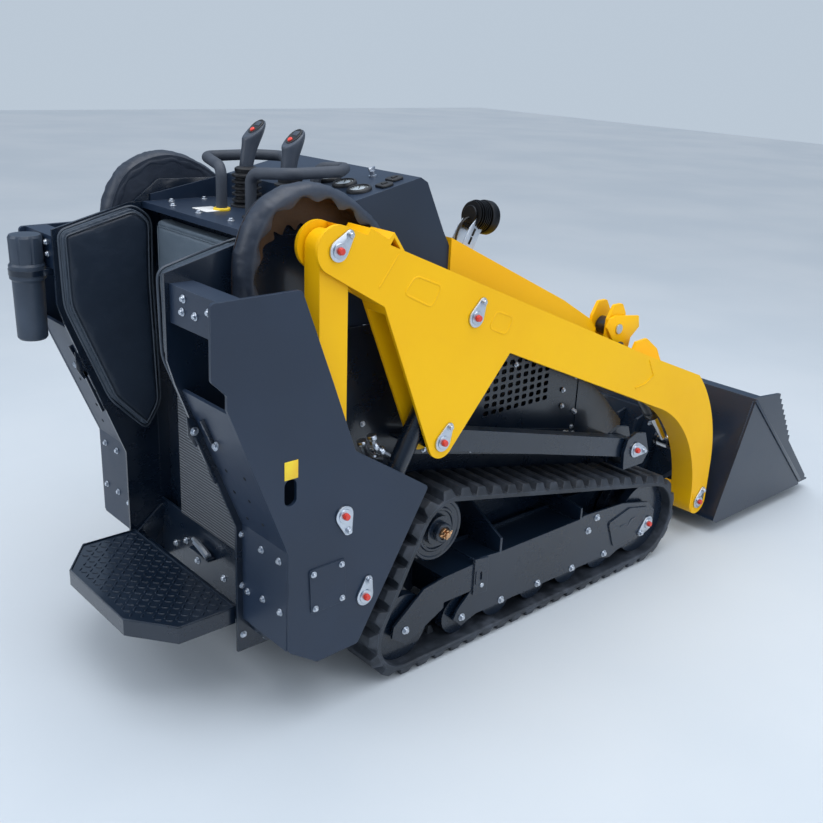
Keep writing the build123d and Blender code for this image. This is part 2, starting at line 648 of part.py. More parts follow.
def cylinder_pair(base, eye, lane, sizes, prefix):
    """Barrels and rods of one pair at rest; reach is where the rod's inner end lies."""
    mid = (lane[0] + lane[1]) / 2
    length = hypot(eye[0] - base[0], eye[1] - base[1])
    root = along(base, eye, sizes["eye"] - 8)
    neck = along(base, eye, sizes["neck"])
    floor = along(base, eye, sizes["neck"] + CAP_T)
    gland = along(base, eye, sizes["length"] - GLAND_T)
    mouth = along(base, eye, sizes["length"])
    with BuildPart() as barrels:
        for _, side in SIDES:
            add(disc(base, sizes["eye"], *lane, side))
            add(tube(root, neck, side * mid, sizes["eye"] - 12))
            add(tube(neck, mouth, side * mid, sizes["barrel"]))
        for _, side in SIDES:
            add(disc(base, PIN_R + PIN_GAP, *lane, side), mode=Mode.SUBTRACT)
            add(tube(floor, gland, side * mid, sizes["bore"]), mode=Mode.SUBTRACT)
            add(tube(floor, mouth, side * mid, sizes["rod"] + ROD_GAP), mode=Mode.SUBTRACT)
    save(barrels.part, f"{prefix}_barrels")
    inner_end = along(base, eye, sizes["reach"])
    outer_end = along(base, eye, length - sizes["eye"] + 6)
    with BuildPart() as rods:
        for _, side in SIDES:
            add(disc(eye, sizes["eye"], *lane, side))
            add(tube(inner_end, outer_end, side * mid, sizes["rod"]))
        for _, side in SIDES:
            add(disc(eye, PIN_R + 3, *lane, side), mode=Mode.SUBTRACT)
    save(rods.part, f"{prefix}_rods")


cylinder_pair(LIFT_BASE_PIN, LIFT_ROD_PIN, LIFT_LANE, LIFT_CYLINDER, "lift")
cylinder_pair(TILT_BASE_PIN, TILT_ROD_PIN, TILT_LANE, TILT_CYLINDER, "tilt")

# Coupler plate
BUCKET_HEEL = (755, 58)
BUCKET_TOP = (930, 513)
COUPLER_T = 12
COUPLER_LOW = 64
COUPLER_TOP = 360
COUPLER_HALF = WALL_IN + 40


def bucket_back(z, behind=0):
    """Point on the bucket's back at a height, or a distance behind it."""
    share = (z - BUCKET_HEEL[1]) / (BUCKET_TOP[1] - BUCKET_HEEL[1])
    return (BUCKET_HEEL[0] + share * (BUCKET_TOP[0] - BUCKET_HEEL[0]) - behind, z)


COUPLER = (
    bucket_back(COUPLER_LOW, COUPLER_T), bucket_back(COUPLER_LOW), bucket_back(COUPLER_TOP),
    bucket_back(COUPLER_TOP, COUPLER_T),
)
LOWER_EAR = ((660, 120), (720, 105), bucket_back(90, 6), bucket_back(190, 6), (724, 180), (680, 175))
UPPER_EAR = ((700, 300), bucket_back(200, 6), bucket_back(320, 6), (720, 350), (695, 345))
LOWER_EAR_R = 34
UPPER_EAR_R = 28
with BuildPart() as coupler:
    for name, side in SIDES:
        add(slab(LOWER_EAR, *COUPLER_EAR, side))
        add(disc(COUPLER_PIN, LOWER_EAR_R, *COUPLER_EAR, side))
        add(slab(UPPER_EAR, TILT_EARS[0], TILT_EARS[0] + EAR_T, side))
        add(disc(TILT_ROD_PIN, UPPER_EAR_R, TILT_EARS[0], TILT_EARS[0] + EAR_T, side))
    add(slab(COUPLER, -COUPLER_HALF, COUPLER_HALF, -1))
    for name, side in SIDES:
        add(disc(COUPLER_PIN, PIN_R + PIN_GAP, *COUPLER_EAR, side), mode=Mode.SUBTRACT)
save(coupler.part, "coupler_plate")

# Bucket: folded shell with its lip, outer side plates and inner side cutters with a toothed edge
BUCKET_SHELL = (
    BUCKET_HEEL, BUCKET_TOP, (978, 513), (978, 503), (940, 503), (775, 66), (795, 52), (1370, 52), (1378, 58),
    (1440, 58), (1484, 48), (1484, 42), (780, 42),
)
BUCKET_SIDE = (BUCKET_HEEL, BUCKET_TOP, (1386, 62), (1400, 42), (780, 42))
CUTTER_TOP = (1112, 497)
CUTTER_LOW = (1262, 268)
CUTTER_TEETH = 9
TOOTH_OUT = 17
BUCKET_T = 10
teeth = []
for index in range(CUTTER_TEETH):
    share = index / CUTTER_TEETH
    x = CUTTER_TOP[0] + share * (CUTTER_LOW[0] - CUTTER_TOP[0])
    z = CUTTER_TOP[1] + share * (CUTTER_LOW[1] - CUTTER_TOP[1])
    teeth += [(x, z), (x + TOOTH_OUT, z - 3)]
CUTTER = ((915, 470), (940, 505), (978, 510), *teeth, CUTTER_LOW, (1462, 66), (1462, 50), (1340, 50))
with BuildPart() as bucket:
    add(slab(BUCKET_SHELL, -(BUCKET_HALF - BUCKET_T), BUCKET_HALF - BUCKET_T, -1))
    for name, side in SIDES:
        add(slab(BUCKET_SIDE, BUCKET_HALF - BUCKET_T, BUCKET_HALF, side))
        add(slab(CUTTER, BUCKET_HALF - 2 * BUCKET_T, BUCKET_HALF - BUCKET_T, side))
save(bucket.part, "bucket")

# Platform
PLATFORM_TOP = 273
PLATFORM_H = 46
PLATFORM_T = 6
PLATFORM_FRONT = -1200
PLATFORM_BEVEL = -1369
PLATFORM_REAR = -1462
PLATFORM_REAR_HALF = 164
PLATFORM_BAR_R = 12
HINGE_EAR = ((PLATFORM_FRONT, 227), (-1172, 218), (-1156, 236), (-1172, 254), (PLATFORM_FRONT, PLATFORM_TOP))
HINGE_EAR_AT = PLATFORM_HALF - 36


def deck_outline(inset):
    """Platform outline from above, drawn inset millimetres in."""
    rear_inset = inset / 2
    half = PLATFORM_HALF - inset
    with BuildSketch(Plane.XY.offset(PLATFORM_TOP - PLATFORM_H)) as deck:
        with BuildLine():
            Polyline(
                (PLATFORM_FRONT - inset, -half), (PLATFORM_BEVEL + rear_inset, -half),
                (PLATFORM_REAR + inset, -PLATFORM_REAR_HALF + rear_inset),
                (PLATFORM_REAR + inset, PLATFORM_REAR_HALF - rear_inset),
                (PLATFORM_BEVEL + rear_inset, half), (PLATFORM_FRONT - inset, half), close=True,
            )
        make_face()
    return deck.sketch


with BuildPart() as platform:
    add(deck_outline(0))
    extrude(amount=PLATFORM_H)
    add(deck_outline(PLATFORM_T))
    extrude(amount=PLATFORM_H - PLATFORM_T, mode=Mode.SUBTRACT)
    for name, side in SIDES:
        add(slab(HINGE_EAR, HINGE_EAR_AT, HINGE_EAR_AT + 2 * PLATFORM_T, side))
    add(disc(PLATFORM_PIN, PLATFORM_BAR_R, -(WALL_IN - SEAT_GAP), WALL_IN - SEAT_GAP, -1))
save(platform.part, "platform")

# Grab handles: each rises from the deck, turns out, runs forward and comes back down into the dash
HANDLE_R = 15
HANDLE_BEND = 30
HANDLE_IN = 72
HANDLE_OUT = 208
HANDLE_Z = 1390
HANDLE_ROUTE = (
    (-1002, HANDLE_IN, DECK_Z - 15), (-1002, HANDLE_IN, 1378), (-970, HANDLE_OUT, HANDLE_Z),
    (-815, HANDLE_OUT, HANDLE_Z), (-752, 146, HANDLE_Z), (-790, HANDLE_IN, 1384), (-800, HANDLE_IN, 1322),
)
for name, side in SIDES:
    with BuildPart() as handle:
        with BuildLine() as route:
            FilletPolyline(*[(x, side * y, z) for x, y, z in HANDLE_ROUTE], radius=HANDLE_BEND)
        with BuildSketch(Plane(origin=route.line @ 0, z_dir=route.line % 0)):
            Circle(HANDLE_R)
        sweep()
        add(console_block, mode=Mode.SUBTRACT)
    save(handle.part, f"grab_handle_{name}")

# Joysticks: bellows boot on the deck and a grip that leans forward
STICK_X = -902
STICK_Y = 104
BOOT_PROFILE = ((0, 0), (34, 0), (34, 8), (31, 14), (31, 96), (20, 108), (0, 108))
GRIP_R = 19
GRIP_LOW = (STICK_X, DECK_Z + 90)
GRIP_TOP = (-862, 1494)
GRIP_HEAD_R = 26
GRIP_HEAD = 52
for name, side in SIDES:
    with BuildPart() as stick:
        with BuildSketch(Plane.XZ.offset(-side * STICK_Y)):
            with Locations((STICK_X, DECK_Z + SEAT_GAP)):
                Polygon(*BOOT_PROFILE, align=None)
        revolve(axis=Axis((STICK_X, side * STICK_Y, DECK_Z), (0, 0, 1)))
        add(tube(GRIP_LOW, GRIP_TOP, side * STICK_Y, GRIP_R))
        add(tube(along(GRIP_TOP, GRIP_LOW, GRIP_HEAD), GRIP_TOP, side * STICK_Y, GRIP_HEAD_R))
    save(stick.part, f"joystick_{name}")

# Canister
CANISTER_Y = 400
CANISTER_R = 42
CANISTER_LOW = 888
CANISTER_CAP = 1100
CANISTER_TOP = 1180
STRAP = ((-1378, 1036), (-1325, 1036), (-1325, 1044), (-1378, 1044))
with BuildPart() as canister:
    with BuildSketch(Plane.XY.offset(CANISTER_LOW)):
        with Locations((CANISTER_X, CANISTER_Y)):
            Circle(CANISTER_R)
    extrude(amount=CANISTER_CAP - CANISTER_LOW)
    with BuildSketch(Plane.XY.offset(CANISTER_CAP)):
        with Locations((CANISTER_X, CANISTER_Y)):
            Circle(CANISTER_CAP_R)
    extrude(amount=CANISTER_TOP - CANISTER_CAP)
    add(slab(STRAP, WALL_OUT, CANISTER_Y, 1))
save(canister.part, "canister")

# Work lamp on its foot
LAMP_Y = -150
LAMP_R = 50
LAMP_REAR = (-280, 1234)
LAMP_FRONT = (-192, 1216)
LAMP_FOOT = ((-345, 1150), (-345, 1120), (-262, 1080), (-262, 1200), (-300, 1215))
FOOT_HALF = 24
with BuildPart() as lamp:
    add(tube(LAMP_REAR, LAMP_FRONT, LAMP_Y, LAMP_R))
    add(slab(LAMP_FOOT, -LAMP_Y - FOOT_HALF, -LAMP_Y + FOOT_HALF, -1))
    add(slab(HOOD, -HOOD_OUT, HOOD_OUT, -1), mode=Mode.SUBTRACT)
save(lamp.part, "work_lamp")

# Hose sleeves: leather wraps that arch from the tower over to the console side
SLEEVE_ROUTE = (
    (-1214, 1120), (-1206, 1240), (-1150, 1335), (-1040, 1371), (-930, 1338), (-838, 1268), (-778, 1190),
)
SLEEVE_HALF_H = 20
SLEEVE_HALF_W = (TOWER_OUT - WALL_OUT - SEAT_GAP) / 2
SLEEVE_Y = (TOWER_OUT + WALL_OUT + SEAT_GAP) / 2
for name, side in SIDES:
    with BuildPart() as sleeve:
        with BuildLine() as route:
            Spline(*[(x, side * SLEEVE_Y, z) for x, z in SLEEVE_ROUTE])
        with BuildSketch(Plane(origin=route.line @ 0, x_dir=(0, 1, 0), z_dir=route.line % 0)):
            Ellipse(SLEEVE_HALF_W, SLEEVE_HALF_H)
        sweep()
    save(sleeve.part, f"hose_sleeve_{name}")
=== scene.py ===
import bpy
from math import acos, atan2, cos, hypot, pi, radians, sin
from mathutils import Matrix, Vector, noise


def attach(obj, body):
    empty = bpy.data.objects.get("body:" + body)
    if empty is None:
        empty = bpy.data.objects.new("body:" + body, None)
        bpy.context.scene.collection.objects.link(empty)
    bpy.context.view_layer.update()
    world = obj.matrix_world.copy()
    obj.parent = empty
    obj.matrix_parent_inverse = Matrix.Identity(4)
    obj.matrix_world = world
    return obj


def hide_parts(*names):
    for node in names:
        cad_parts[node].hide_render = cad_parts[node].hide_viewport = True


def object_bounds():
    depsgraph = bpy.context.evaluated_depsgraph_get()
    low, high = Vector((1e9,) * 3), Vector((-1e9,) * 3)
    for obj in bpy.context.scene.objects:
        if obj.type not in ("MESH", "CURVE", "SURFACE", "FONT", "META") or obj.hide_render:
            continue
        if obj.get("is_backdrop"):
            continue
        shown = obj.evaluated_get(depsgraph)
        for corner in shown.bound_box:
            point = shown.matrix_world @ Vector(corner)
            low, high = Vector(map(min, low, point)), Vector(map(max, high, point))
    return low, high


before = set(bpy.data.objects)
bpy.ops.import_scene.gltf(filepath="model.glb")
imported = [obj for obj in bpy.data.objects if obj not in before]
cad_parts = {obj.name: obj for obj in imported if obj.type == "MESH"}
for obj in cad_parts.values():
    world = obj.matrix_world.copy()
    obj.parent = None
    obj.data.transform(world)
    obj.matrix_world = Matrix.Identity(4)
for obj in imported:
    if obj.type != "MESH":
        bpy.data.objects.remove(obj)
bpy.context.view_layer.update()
mm = 0.001
sides = (("Right", -1), ("Left", 1))


# a wrapped output socket, so that shader maths reads as sums
class Wire:
    def __init__(self, finish, socket):
        self.finish = finish
        self.socket = socket

    def sum(self, operation, left, right):
        return self.finish.node("ShaderNodeMath", {"operation": operation}, {0: left, 1: right}).wire(0)

    def __add__(self, other):
        return self.sum("ADD", self, other)

    def __radd__(self, other):
        return self.sum("ADD", other, self)

    def __sub__(self, other):
        return self.sum("SUBTRACT", self, other)

    def __rsub__(self, other):
        return self.sum("SUBTRACT", other, self)

    def __mul__(self, other):
        return self.sum("MULTIPLY", self, other)

    def __rmul__(self, other):
        return self.sum("MULTIPLY", other, self)

    def smooth(self, low, high):
        values = {"Value": self, "From Min": low, "From Max": high}
        return self.finish.node("ShaderNodeMapRange", {"interpolation_type": "SMOOTHSTEP"}, values).wire(0)


# a node that was made, which hands out its outputs
class Made:
    def __init__(self, finish, made):
        self.finish = finish
        self.made = made

    def wire(self, output):
        return Wire(self.finish, self.made.outputs[output])


# a material with a principled shader, and the nodes that its recipes use
class Finish:
    def __init__(self, name):
        self.material = bpy.data.materials.new(name)
        self.material.use_nodes = True
        self.tree = self.material.node_tree
        self.shader = self.tree.nodes["Principled BSDF"]
        self.place = self.node("ShaderNodeTexCoord").wire("Object")

    def node(self, kind, settings=None, values=None):
        made = self.tree.nodes.new(kind)
        for key, value in (settings or {}).items():
            setattr(made, key, value)
        for key, value in (values or {}).items():
            self.feed(made.inputs[key], value)
        return Made(self, made)

    def feed(self, socket, value):
        if isinstance(value, Wire):
            self.tree.links.new(value.socket, socket)
        else:
            socket.default_value = value

    def set(self, **values):
        for key, value in values.items():
            name = key.replace("_", " ")
            self.feed(self.shader.inputs[name], value)

    def stretched(self, scale):
        values = {0: self.place, 1: scale}
        return self.node("ShaderNodeVectorMath", {"operation": "MULTIPLY"}, values).wire(0)

    def grain(self, scale, detail=3.0, roughness=0.5, stretch=None):
        vector = self.stretched(stretch) if stretch else self.place
        values = {"Vector": vector, "Scale": scale, "Detail": detail, "Roughness": roughness}
        return self.node("ShaderNodeTexNoise", {}, values).wire(0)

    def cells(self, scale, feature="F1", stretch=None):
        vector = self.stretched(stretch) if stretch else self.place
        values = {"Vector": vector, "Scale": scale}
        return self.node("ShaderNodeTexVoronoi", {"feature": feature}, values).wire(0)

    def mix(self, amount, first, second):
        values = {0: amount, 6: first, 7: second}
        return self.node("ShaderNodeMix", {"data_type": "RGBA"}, values).wire(2)

    def upward(self):
        normal = self.node("ShaderNodeNewGeometry").wire("Normal")
        return self.node("ShaderNodeSeparateXYZ", {}, {0: normal}).wire(2)

    def height(self):
        return self.node("ShaderNodeSeparateXYZ", {}, {0: self.place}).wire(2)

    def edges(self, radius):
        soft = self.node("ShaderNodeBevel", {"samples": 4}, {"Radius": radius}).wire(0)
        flat = self.node("ShaderNodeNewGeometry").wire("True Normal")
        flush = self.node("ShaderNodeVectorMath", {"operation": "DOT_PRODUCT"}, {0: soft, 1: flat}).wire(1)
        return soft, (1.0 - flush).smooth(0.02, 0.3)  # the edge's round normal, and where the edges get a painted highlight

    def bump(self, height, distance, strength=1.0, normal=None):
        values = {"Height": height, "Distance": distance, "Strength": strength}
        if normal:
            values["Normal"] = normal
        self.feed(self.shader.inputs["Normal"], self.node("ShaderNodeBump", {}, values).wire(0))


def colour(red, green, blue):
    return (red, green, blue, 1)


# sprayed paint: broad and small blotches, dust that settles on top and low down, on top also a painted sky sheen,
# fine scratches, and a painted highlight on the edges
def paint(name, base, shade, dustAndSheen, rough, coat=0.0, dustAndSheenShare=0.3, edge=(0.5, 0.5, 0.5, 1), edgeShare=0.25,
          radius=0.0018, specular=0.5):
    finish = Finish(name)
    broad = finish.grain(1.7, 4)
    blotch = finish.grain(7.5, 6, 0.62)
    scratch = finish.grain(34, 2, 0.5, (1, 1, 9)).smooth(0.62, 0.74)
    soft, edgeHighlight = finish.edges(radius)
    body = finish.mix(broad.smooth(0.35, 0.65), base, shade)
    # top faces: real dust, which on the black paints is pale blue as a painted sky sheen
    topDustAndSheen = (finish.upward().smooth(0.1, 1.0) * 0.6 + blotch.smooth(0.45, 0.8) * 0.5) * dustAndSheenShare
    low = (1.0 - finish.height()).smooth(0.35, 1.0) * blotch.smooth(0.3, 0.7) * dustAndSheenShare
    veiledBody = finish.mix(topDustAndSheen + low, body, dustAndSheen)
    # lighter edges, broken up by blotches: a painted highlight
    finish.set(Base_Color=finish.mix(edgeHighlight * blotch.smooth(0.35, 0.7) * edgeShare, veiledBody, edge))
    finish.set(Roughness=rough + blotch * 0.16 + topDustAndSheen * 0.4 + scratch * 0.06)
    finish.set(Coat_Weight=coat, Coat_Roughness=0.12, Specular_IOR_Level=specular)
    peel = finish.grain(210, 2, 0.4) * 0.5 + scratch * -0.2
    finish.bump(peel, 0.0004, 0.35, soft)
    return finish.material


# track rubber: chalky blotches, most of them near the ground; a blue tint of painted sky reflection and lighter edges
# as a painted highlight
def rubber(name):
    finish = Finish(name)
    broad = finish.grain(5, 5, 0.6)
    fine = finish.grain(190, 3, 0.6)
    soft, edgeHighlight = finish.edges(0.003)
    chalk = finish.grain(17, 8, 0.7).smooth(0.42, 0.75)
    low = (1.0 - finish.height()).smooth(0.75, 1.0)
    # the blue in these rubber colours is painted sky reflection
    body = finish.mix(broad.smooth(0.3, 0.7), colour(0.011, 0.014, 0.020), colour(0.024, 0.031, 0.043))
    veiledBody = finish.mix(chalk * 0.4 + low * chalk * 0.35, body, colour(0.085, 0.10, 0.13))
    # lighter blue edges: a painted highlight
    finish.set(Base_Color=finish.mix(edgeHighlight * 0.4, veiledBody, colour(0.20, 0.25, 0.32)))
    finish.set(Roughness=0.48 + chalk * 0.2)
    finish.bump(fine * 0.6 + broad * 0.6, 0.0009, 0.6, soft)
    return finish.material


# coated cloth: pebble grain under long creases
def leather(name, base, light, rough, pebble=420):
    finish = Finish(name)
    cells = finish.cells(pebble, "SMOOTH_F1")
    creases = finish.grain(26, 5, 0.65, (1, 1, 1.8)).smooth(0.4, 0.75)
    broad = finish.grain(3.2, 3)
    finish.set(Base_Color=finish.mix(broad.smooth(0.35, 0.7) * 0.5 + creases * 0.25, base, light))
    finish.set(Roughness=rough + cells * 0.18 + creases * 0.08)
    finish.bump(cells * 0.35 - creases * 0.5, 0.0008, 0.55)
    return finish.material


# bare or plated metal with spots of stain
def metal(name, base, rough, stain=(0.12, 0.1, 0.08, 1), stained=0.15):
    finish = Finish(name)
    lines = finish.grain(90, 3, 0.6)
    spots = finish.grain(23, 6, 0.7).smooth(0.5, 0.78)
    finish.set(Metallic=1.0, Base_Color=finish.mix(spots * stained, base, stain))
    finish.set(Roughness=rough + lines * 0.12 + spots * 0.2)
    finish.bump(lines, 0.0002, 0.3)
    return finish.material


# moulded plastic, foam and glass: fine grain, edges a little paler as a painted highlight
def plastic(name, base, rough, grain=0.25, size=300, coat=0.0):
    finish = Finish(name)
    fine = finish.grain(size, 2, 0.5)
    broad = finish.grain(9, 4, 0.6)
    soft, edgeHighlight = finish.edges(0.001)
    light = tuple(min(1, part * 1.8 + 0.01) for part in base[:3]) + (1,)
    finish.set(Base_Color=finish.mix(broad.smooth(0.35, 0.75) * 0.4 + edgeHighlight * 0.3, base, light))
    finish.set(Roughness=rough + broad * 0.12, Coat_Weight=coat)
    finish.bump(fine, 0.0004, grain, soft)
    return finish.material


# radiator core: level tubes crossed by upright fins, dark in the gaps between them as painted shade
def core(name):
    finish = Finish(name)
    waves = []
    for direction, scale in (("Z", 36.0), ("Y", 130.0)):
        values = {"Vector": finish.place, "Scale": scale}
        waves.append(finish.node("ShaderNodeTexWave", {"bands_direction": direction}, values).wire(1))
    dirt = finish.grain(12, 6, 0.7)
    depth = waves[0] * 0.65 + waves[1] * 0.35
    # dark in the valleys between tubes and fins: painted shade
    finish.set(Base_Color=finish.mix(depth, colour(0.02, 0.022, 0.026), colour(0.30, 0.32, 0.35)))
    finish.set(Metallic=0.6, Roughness=0.4 + dirt * 0.3)
    finish.bump(depth, 0.003, 0.8)
    return finish.material


# each paint's edge colour is the colour of its painted edge highlight
yellowPaint = paint("yellowPaint", colour(0.95, 0.53, 0.0), colour(0.90, 0.48, 0.0), colour(0.70, 0.42, 0.06),
                    rough=0.40, coat=0.05, dustAndSheenShare=0.04, edge=colour(0.95, 0.62, 0.05), edgeShare=0.3,
                    radius=0.002, specular=0.22)
# the blue in the black paints' colours, from base to dust and edge, is painted sky reflection
blackPaint = paint("blackPaint", colour(0.003, 0.008, 0.018), colour(0.005, 0.012, 0.026),
                   colour(0.024, 0.045, 0.080), rough=0.20, coat=0.45, dustAndSheenShare=0.07,
                   edge=colour(0.17, 0.23, 0.32), edgeShare=0.6)
shieldPaint = paint("shieldPaint", colour(0.006, 0.017, 0.040), colour(0.009, 0.022, 0.050),
                    colour(0.035, 0.065, 0.12), rough=0.36, coat=0.08, dustAndSheenShare=0.10,
                    edge=colour(0.18, 0.24, 0.33), edgeShare=0.55)
bucketPaint = paint("bucketPaint", colour(0.002, 0.009, 0.024), colour(0.004, 0.013, 0.032),
                    colour(0.025, 0.05, 0.10), rough=0.22, coat=0.35, dustAndSheenShare=0.08,
                    edge=colour(0.30, 0.36, 0.46), edgeShare=0.55)
castPaint = paint("castPaint", colour(0.008, 0.008, 0.009), colour(0.014, 0.014, 0.014), colour(0.05, 0.05, 0.05),
                  rough=0.55)
trackRubber = rubber("trackRubber")
# the blue in the pad and sleeve leathers is painted sky reflection
padLeather = leather("padLeather", colour(0.008, 0.016, 0.031), colour(0.017, 0.030, 0.052), rough=0.40)
# lighter copies of the pad leather for its piping and border: painted sheen
sheenPipingLeather = leather("sheenPipingLeather", colour(0.030, 0.042, 0.060), colour(0.06, 0.08, 0.11), rough=0.4)
greyLeather = leather("greyLeather", colour(0.088, 0.118, 0.150), colour(0.145, 0.18, 0.22), rough=0.38)
sheenEdgeLeather = leather("sheenEdgeLeather", colour(0.045, 0.062, 0.088), colour(0.075, 0.10, 0.135), rough=0.38)
sleeveLeather = leather("sleeveLeather", colour(0.015, 0.022, 0.037), colour(0.042, 0.056, 0.086), rough=0.34,
                        pebble=260)
# dark brown for the sleeves' inner faces: painted shade
shadedBrownLeather = leather("shadedBrownLeather", colour(0.075, 0.036, 0.014), colour(0.14, 0.07, 0.03), rough=0.6, pebble=260)
# the blue in the foam, joystick and canister colours is painted sky reflection
foamGrip = plastic("foamGrip", colour(0.034, 0.043, 0.060), rough=0.55, grain=0.4, size=520)
blackPlastic = plastic("blackPlastic", colour(0.012, 0.013, 0.016), rough=0.42)
joystickPlastic = plastic("joystickPlastic", colour(0.040, 0.051, 0.072), rough=0.34, grain=0.2)
canisterPlastic = plastic("canisterPlastic", colour(0.030, 0.044, 0.068), rough=0.36)
redPlastic = plastic("redPlastic", colour(0.62, 0.035, 0.02), rough=0.34, grain=0.1, size=200, coat=0.3)
whitePlate = plastic("whitePlate", colour(0.72, 0.73, 0.74), rough=0.4, grain=0.1)
yellowLabel = plastic("yellowLabel", colour(0.86, 0.52, 0.02), rough=0.4, grain=0.1)
hoseRubber = plastic("hoseRubber", colour(0.014, 0.015, 0.017), rough=0.5, grain=0.5, size=260)
gaugeGlass = plastic("gaugeGlass", colour(0.42, 0.47, 0.50), rough=0.1, grain=0.02, size=60, coat=1.0)
lampLens = plastic("lampLens", colour(0.55, 0.58, 0.6), rough=0.08, grain=0.05, size=60, coat=1.0)
darkHole = plastic("darkHole", colour(0.002, 0.002, 0.002), rough=0.7, grain=0.05)
boltSteel = metal("boltSteel", colour(0.62, 0.66, 0.72), rough=0.24)
rodChrome = metal("rodChrome", colour(0.78, 0.80, 0.83), rough=0.07, stain=colour(0.3, 0.3, 0.3), stained=0.05)
copperNut = metal("copperNut", colour(0.72, 0.42, 0.22), rough=0.3)
lampMetal = metal("lampMetal", colour(0.03, 0.032, 0.036), rough=0.4)
radiatorCore = core("radiatorCore")

# the finish of each CAD node, where it isn't the black paint
nodeFinish = {
    "arm_crossmember": yellowPaint, "rear_links": yellowPaint, "hood": yellowPaint, "bucket": bucketPaint,
    "console": shieldPaint, "engine_block": castPaint, "radiator": radiatorCore, "lift_rods": rodChrome,
    "tilt_rods": rodChrome, "canister": blackPlastic, "work_lamp": lampMetal, "centre_pad": greyLeather,
}
pairFinish = {
    "arm": yellowPaint, "track": trackRubber, "side_shield": shieldPaint, "grab_handle": foamGrip,
    "hose_sleeve": sleeveLeather, "thigh_pad": padLeather,
}
for name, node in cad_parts.items():
    node.data.materials.clear()
    pairName = name.removesuffix("_left").removesuffix("_right")
    node.data.materials.append(nodeFinish.get(name) or pairFinish.get(pairName, blackPaint))
print("finishes on", len(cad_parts), "nodes")



# modelling helpers on operators; lengths are in mm, apart from what plate and pipe take
def deselect():
    if bpy.context.object and bpy.context.object.mode != "OBJECT":
        bpy.ops.object.mode_set(mode="OBJECT")
    bpy.ops.object.select_all(action="DESELECT")


def only(piece):
    deselect()
    piece.select_set(True)
    bpy.context.view_layer.objects.active = piece
    return piece


def modify(piece, kind, **values):
    only(piece)
    modifier = piece.modifiers.new(kind.lower(), kind)
    for key, value in values.items():
        setattr(modifier, key, value)
    bpy.ops.object.modifier_apply(modifier=modifier.name)
    return piece


def dress(piece, name, finish, smooth=35):
    piece.name = name
    piece.data.name = name
    piece.data.materials.clear()
    piece.data.materials.append(finish)
    only(piece)
    bpy.ops.object.shade_smooth_by_angle(angle=radians(smooth))
    return piece


def placed(piece, *places):
    for place in places:
        piece.data.transform(place)
    return piece


def scaled(points):
    return [Vector(point) * mm for point in points]


def turned(radius, depth, sides=24, top=None, low=0, bevel=0):
    deselect()
    tip = radius if top is None else top
    bpy.ops.mesh.primitive_cone_add(vertices=sides, radius1=radius * mm, radius2=tip * mm, depth=depth * mm,
                                    location=(0, 0, (low + depth / 2) * mm))
    piece = only(bpy.context.object)
    bpy.ops.object.transform_apply(location=True, rotation=True, scale=True)
    return modify(piece, "BEVEL", width=bevel * mm) if bevel else piece


def edited(piece, *steps):  # runs mesh operators on the whole of a piece
    only(piece)
    bpy.ops.object.mode_set(mode="EDIT")
    bpy.ops.mesh.select_all(action="SELECT")
    for operator, values in steps:
        operator(**values)
    bpy.ops.object.mode_set(mode="OBJECT")
    return piece


def outward(piece):
    return edited(piece, (bpy.ops.mesh.remove_doubles, {"threshold": 0.00002}),
                  (bpy.ops.mesh.normals_make_consistent, {"inside": False}))


def capped(piece):
    return outward(edited(piece, (bpy.ops.mesh.fill_holes, {"sides": 0})))


def plate(points, depth, bevel=0.0):
    deselect()
    bpy.ops.mesh.primitive_circle_add(vertices=len(points), radius=1, fill_type="NGON")
    piece = bpy.context.object
    for vertex, (x, y) in zip(piece.data.vertices, points):
        vertex.co = (x, y, 0)
    edited(piece, (bpy.ops.mesh.extrude_region_move, {"TRANSFORM_OT_translate": {"value": (0, 0, depth)}}),
           (bpy.ops.mesh.select_all, {"action": "SELECT"}), (bpy.ops.mesh.normals_make_consistent, {"inside": False}))
    return modify(piece, "BEVEL", width=bevel, segments=2, limit_method="ANGLE") if bevel else piece


def join(*pieces):
    deselect()
    for piece in pieces:
        piece.select_set(True)
    bpy.context.view_layer.objects.active = pieces[0]
    bpy.ops.object.join()
    return pieces[0]


def block(low, high, bevel=1.2, segments=2):
    deselect()
    bpy.ops.mesh.primitive_cube_add(size=1)
    piece = bpy.context.object
    for vertex in piece.data.vertices:
        vertex.co = [mm * (high[axis] if vertex.co[axis] > 0 else low[axis]) for axis in range(3)]
    return modify(piece, "BEVEL", width=bevel * mm, segments=segments) if bevel else piece


def upright(side, inner):  # takes a flat plate to a plane along the machine, its face outwards
    turn = Matrix(((1, 0, 0), (0, 0, side), (0, 1, 0))).to_4x4()
    return Matrix.Translation((0, side * inner * mm, 0)) @ turn


def sheet(side, points, inner, outer, bevel=0.8):
    piece = plate([(x * mm, z * mm) for x, z in points], (outer - inner) * mm, bevel * mm)
    return outward(placed(piece, upright(side, inner)))


def selectEdges(piece, wanted):  # leaves the piece in edit mode
    bpy.ops.object.mode_set(mode="EDIT")
    bpy.ops.mesh.select_mode(type="EDGE")
    bpy.ops.mesh.select_all(action="DESELECT")
    bpy.ops.object.mode_set(mode="OBJECT")
    for edge in piece.data.edges:
        edge.select = wanted([piece.data.vertices[index].co for index in edge.vertices])
    bpy.ops.object.mode_set(mode="EDIT")


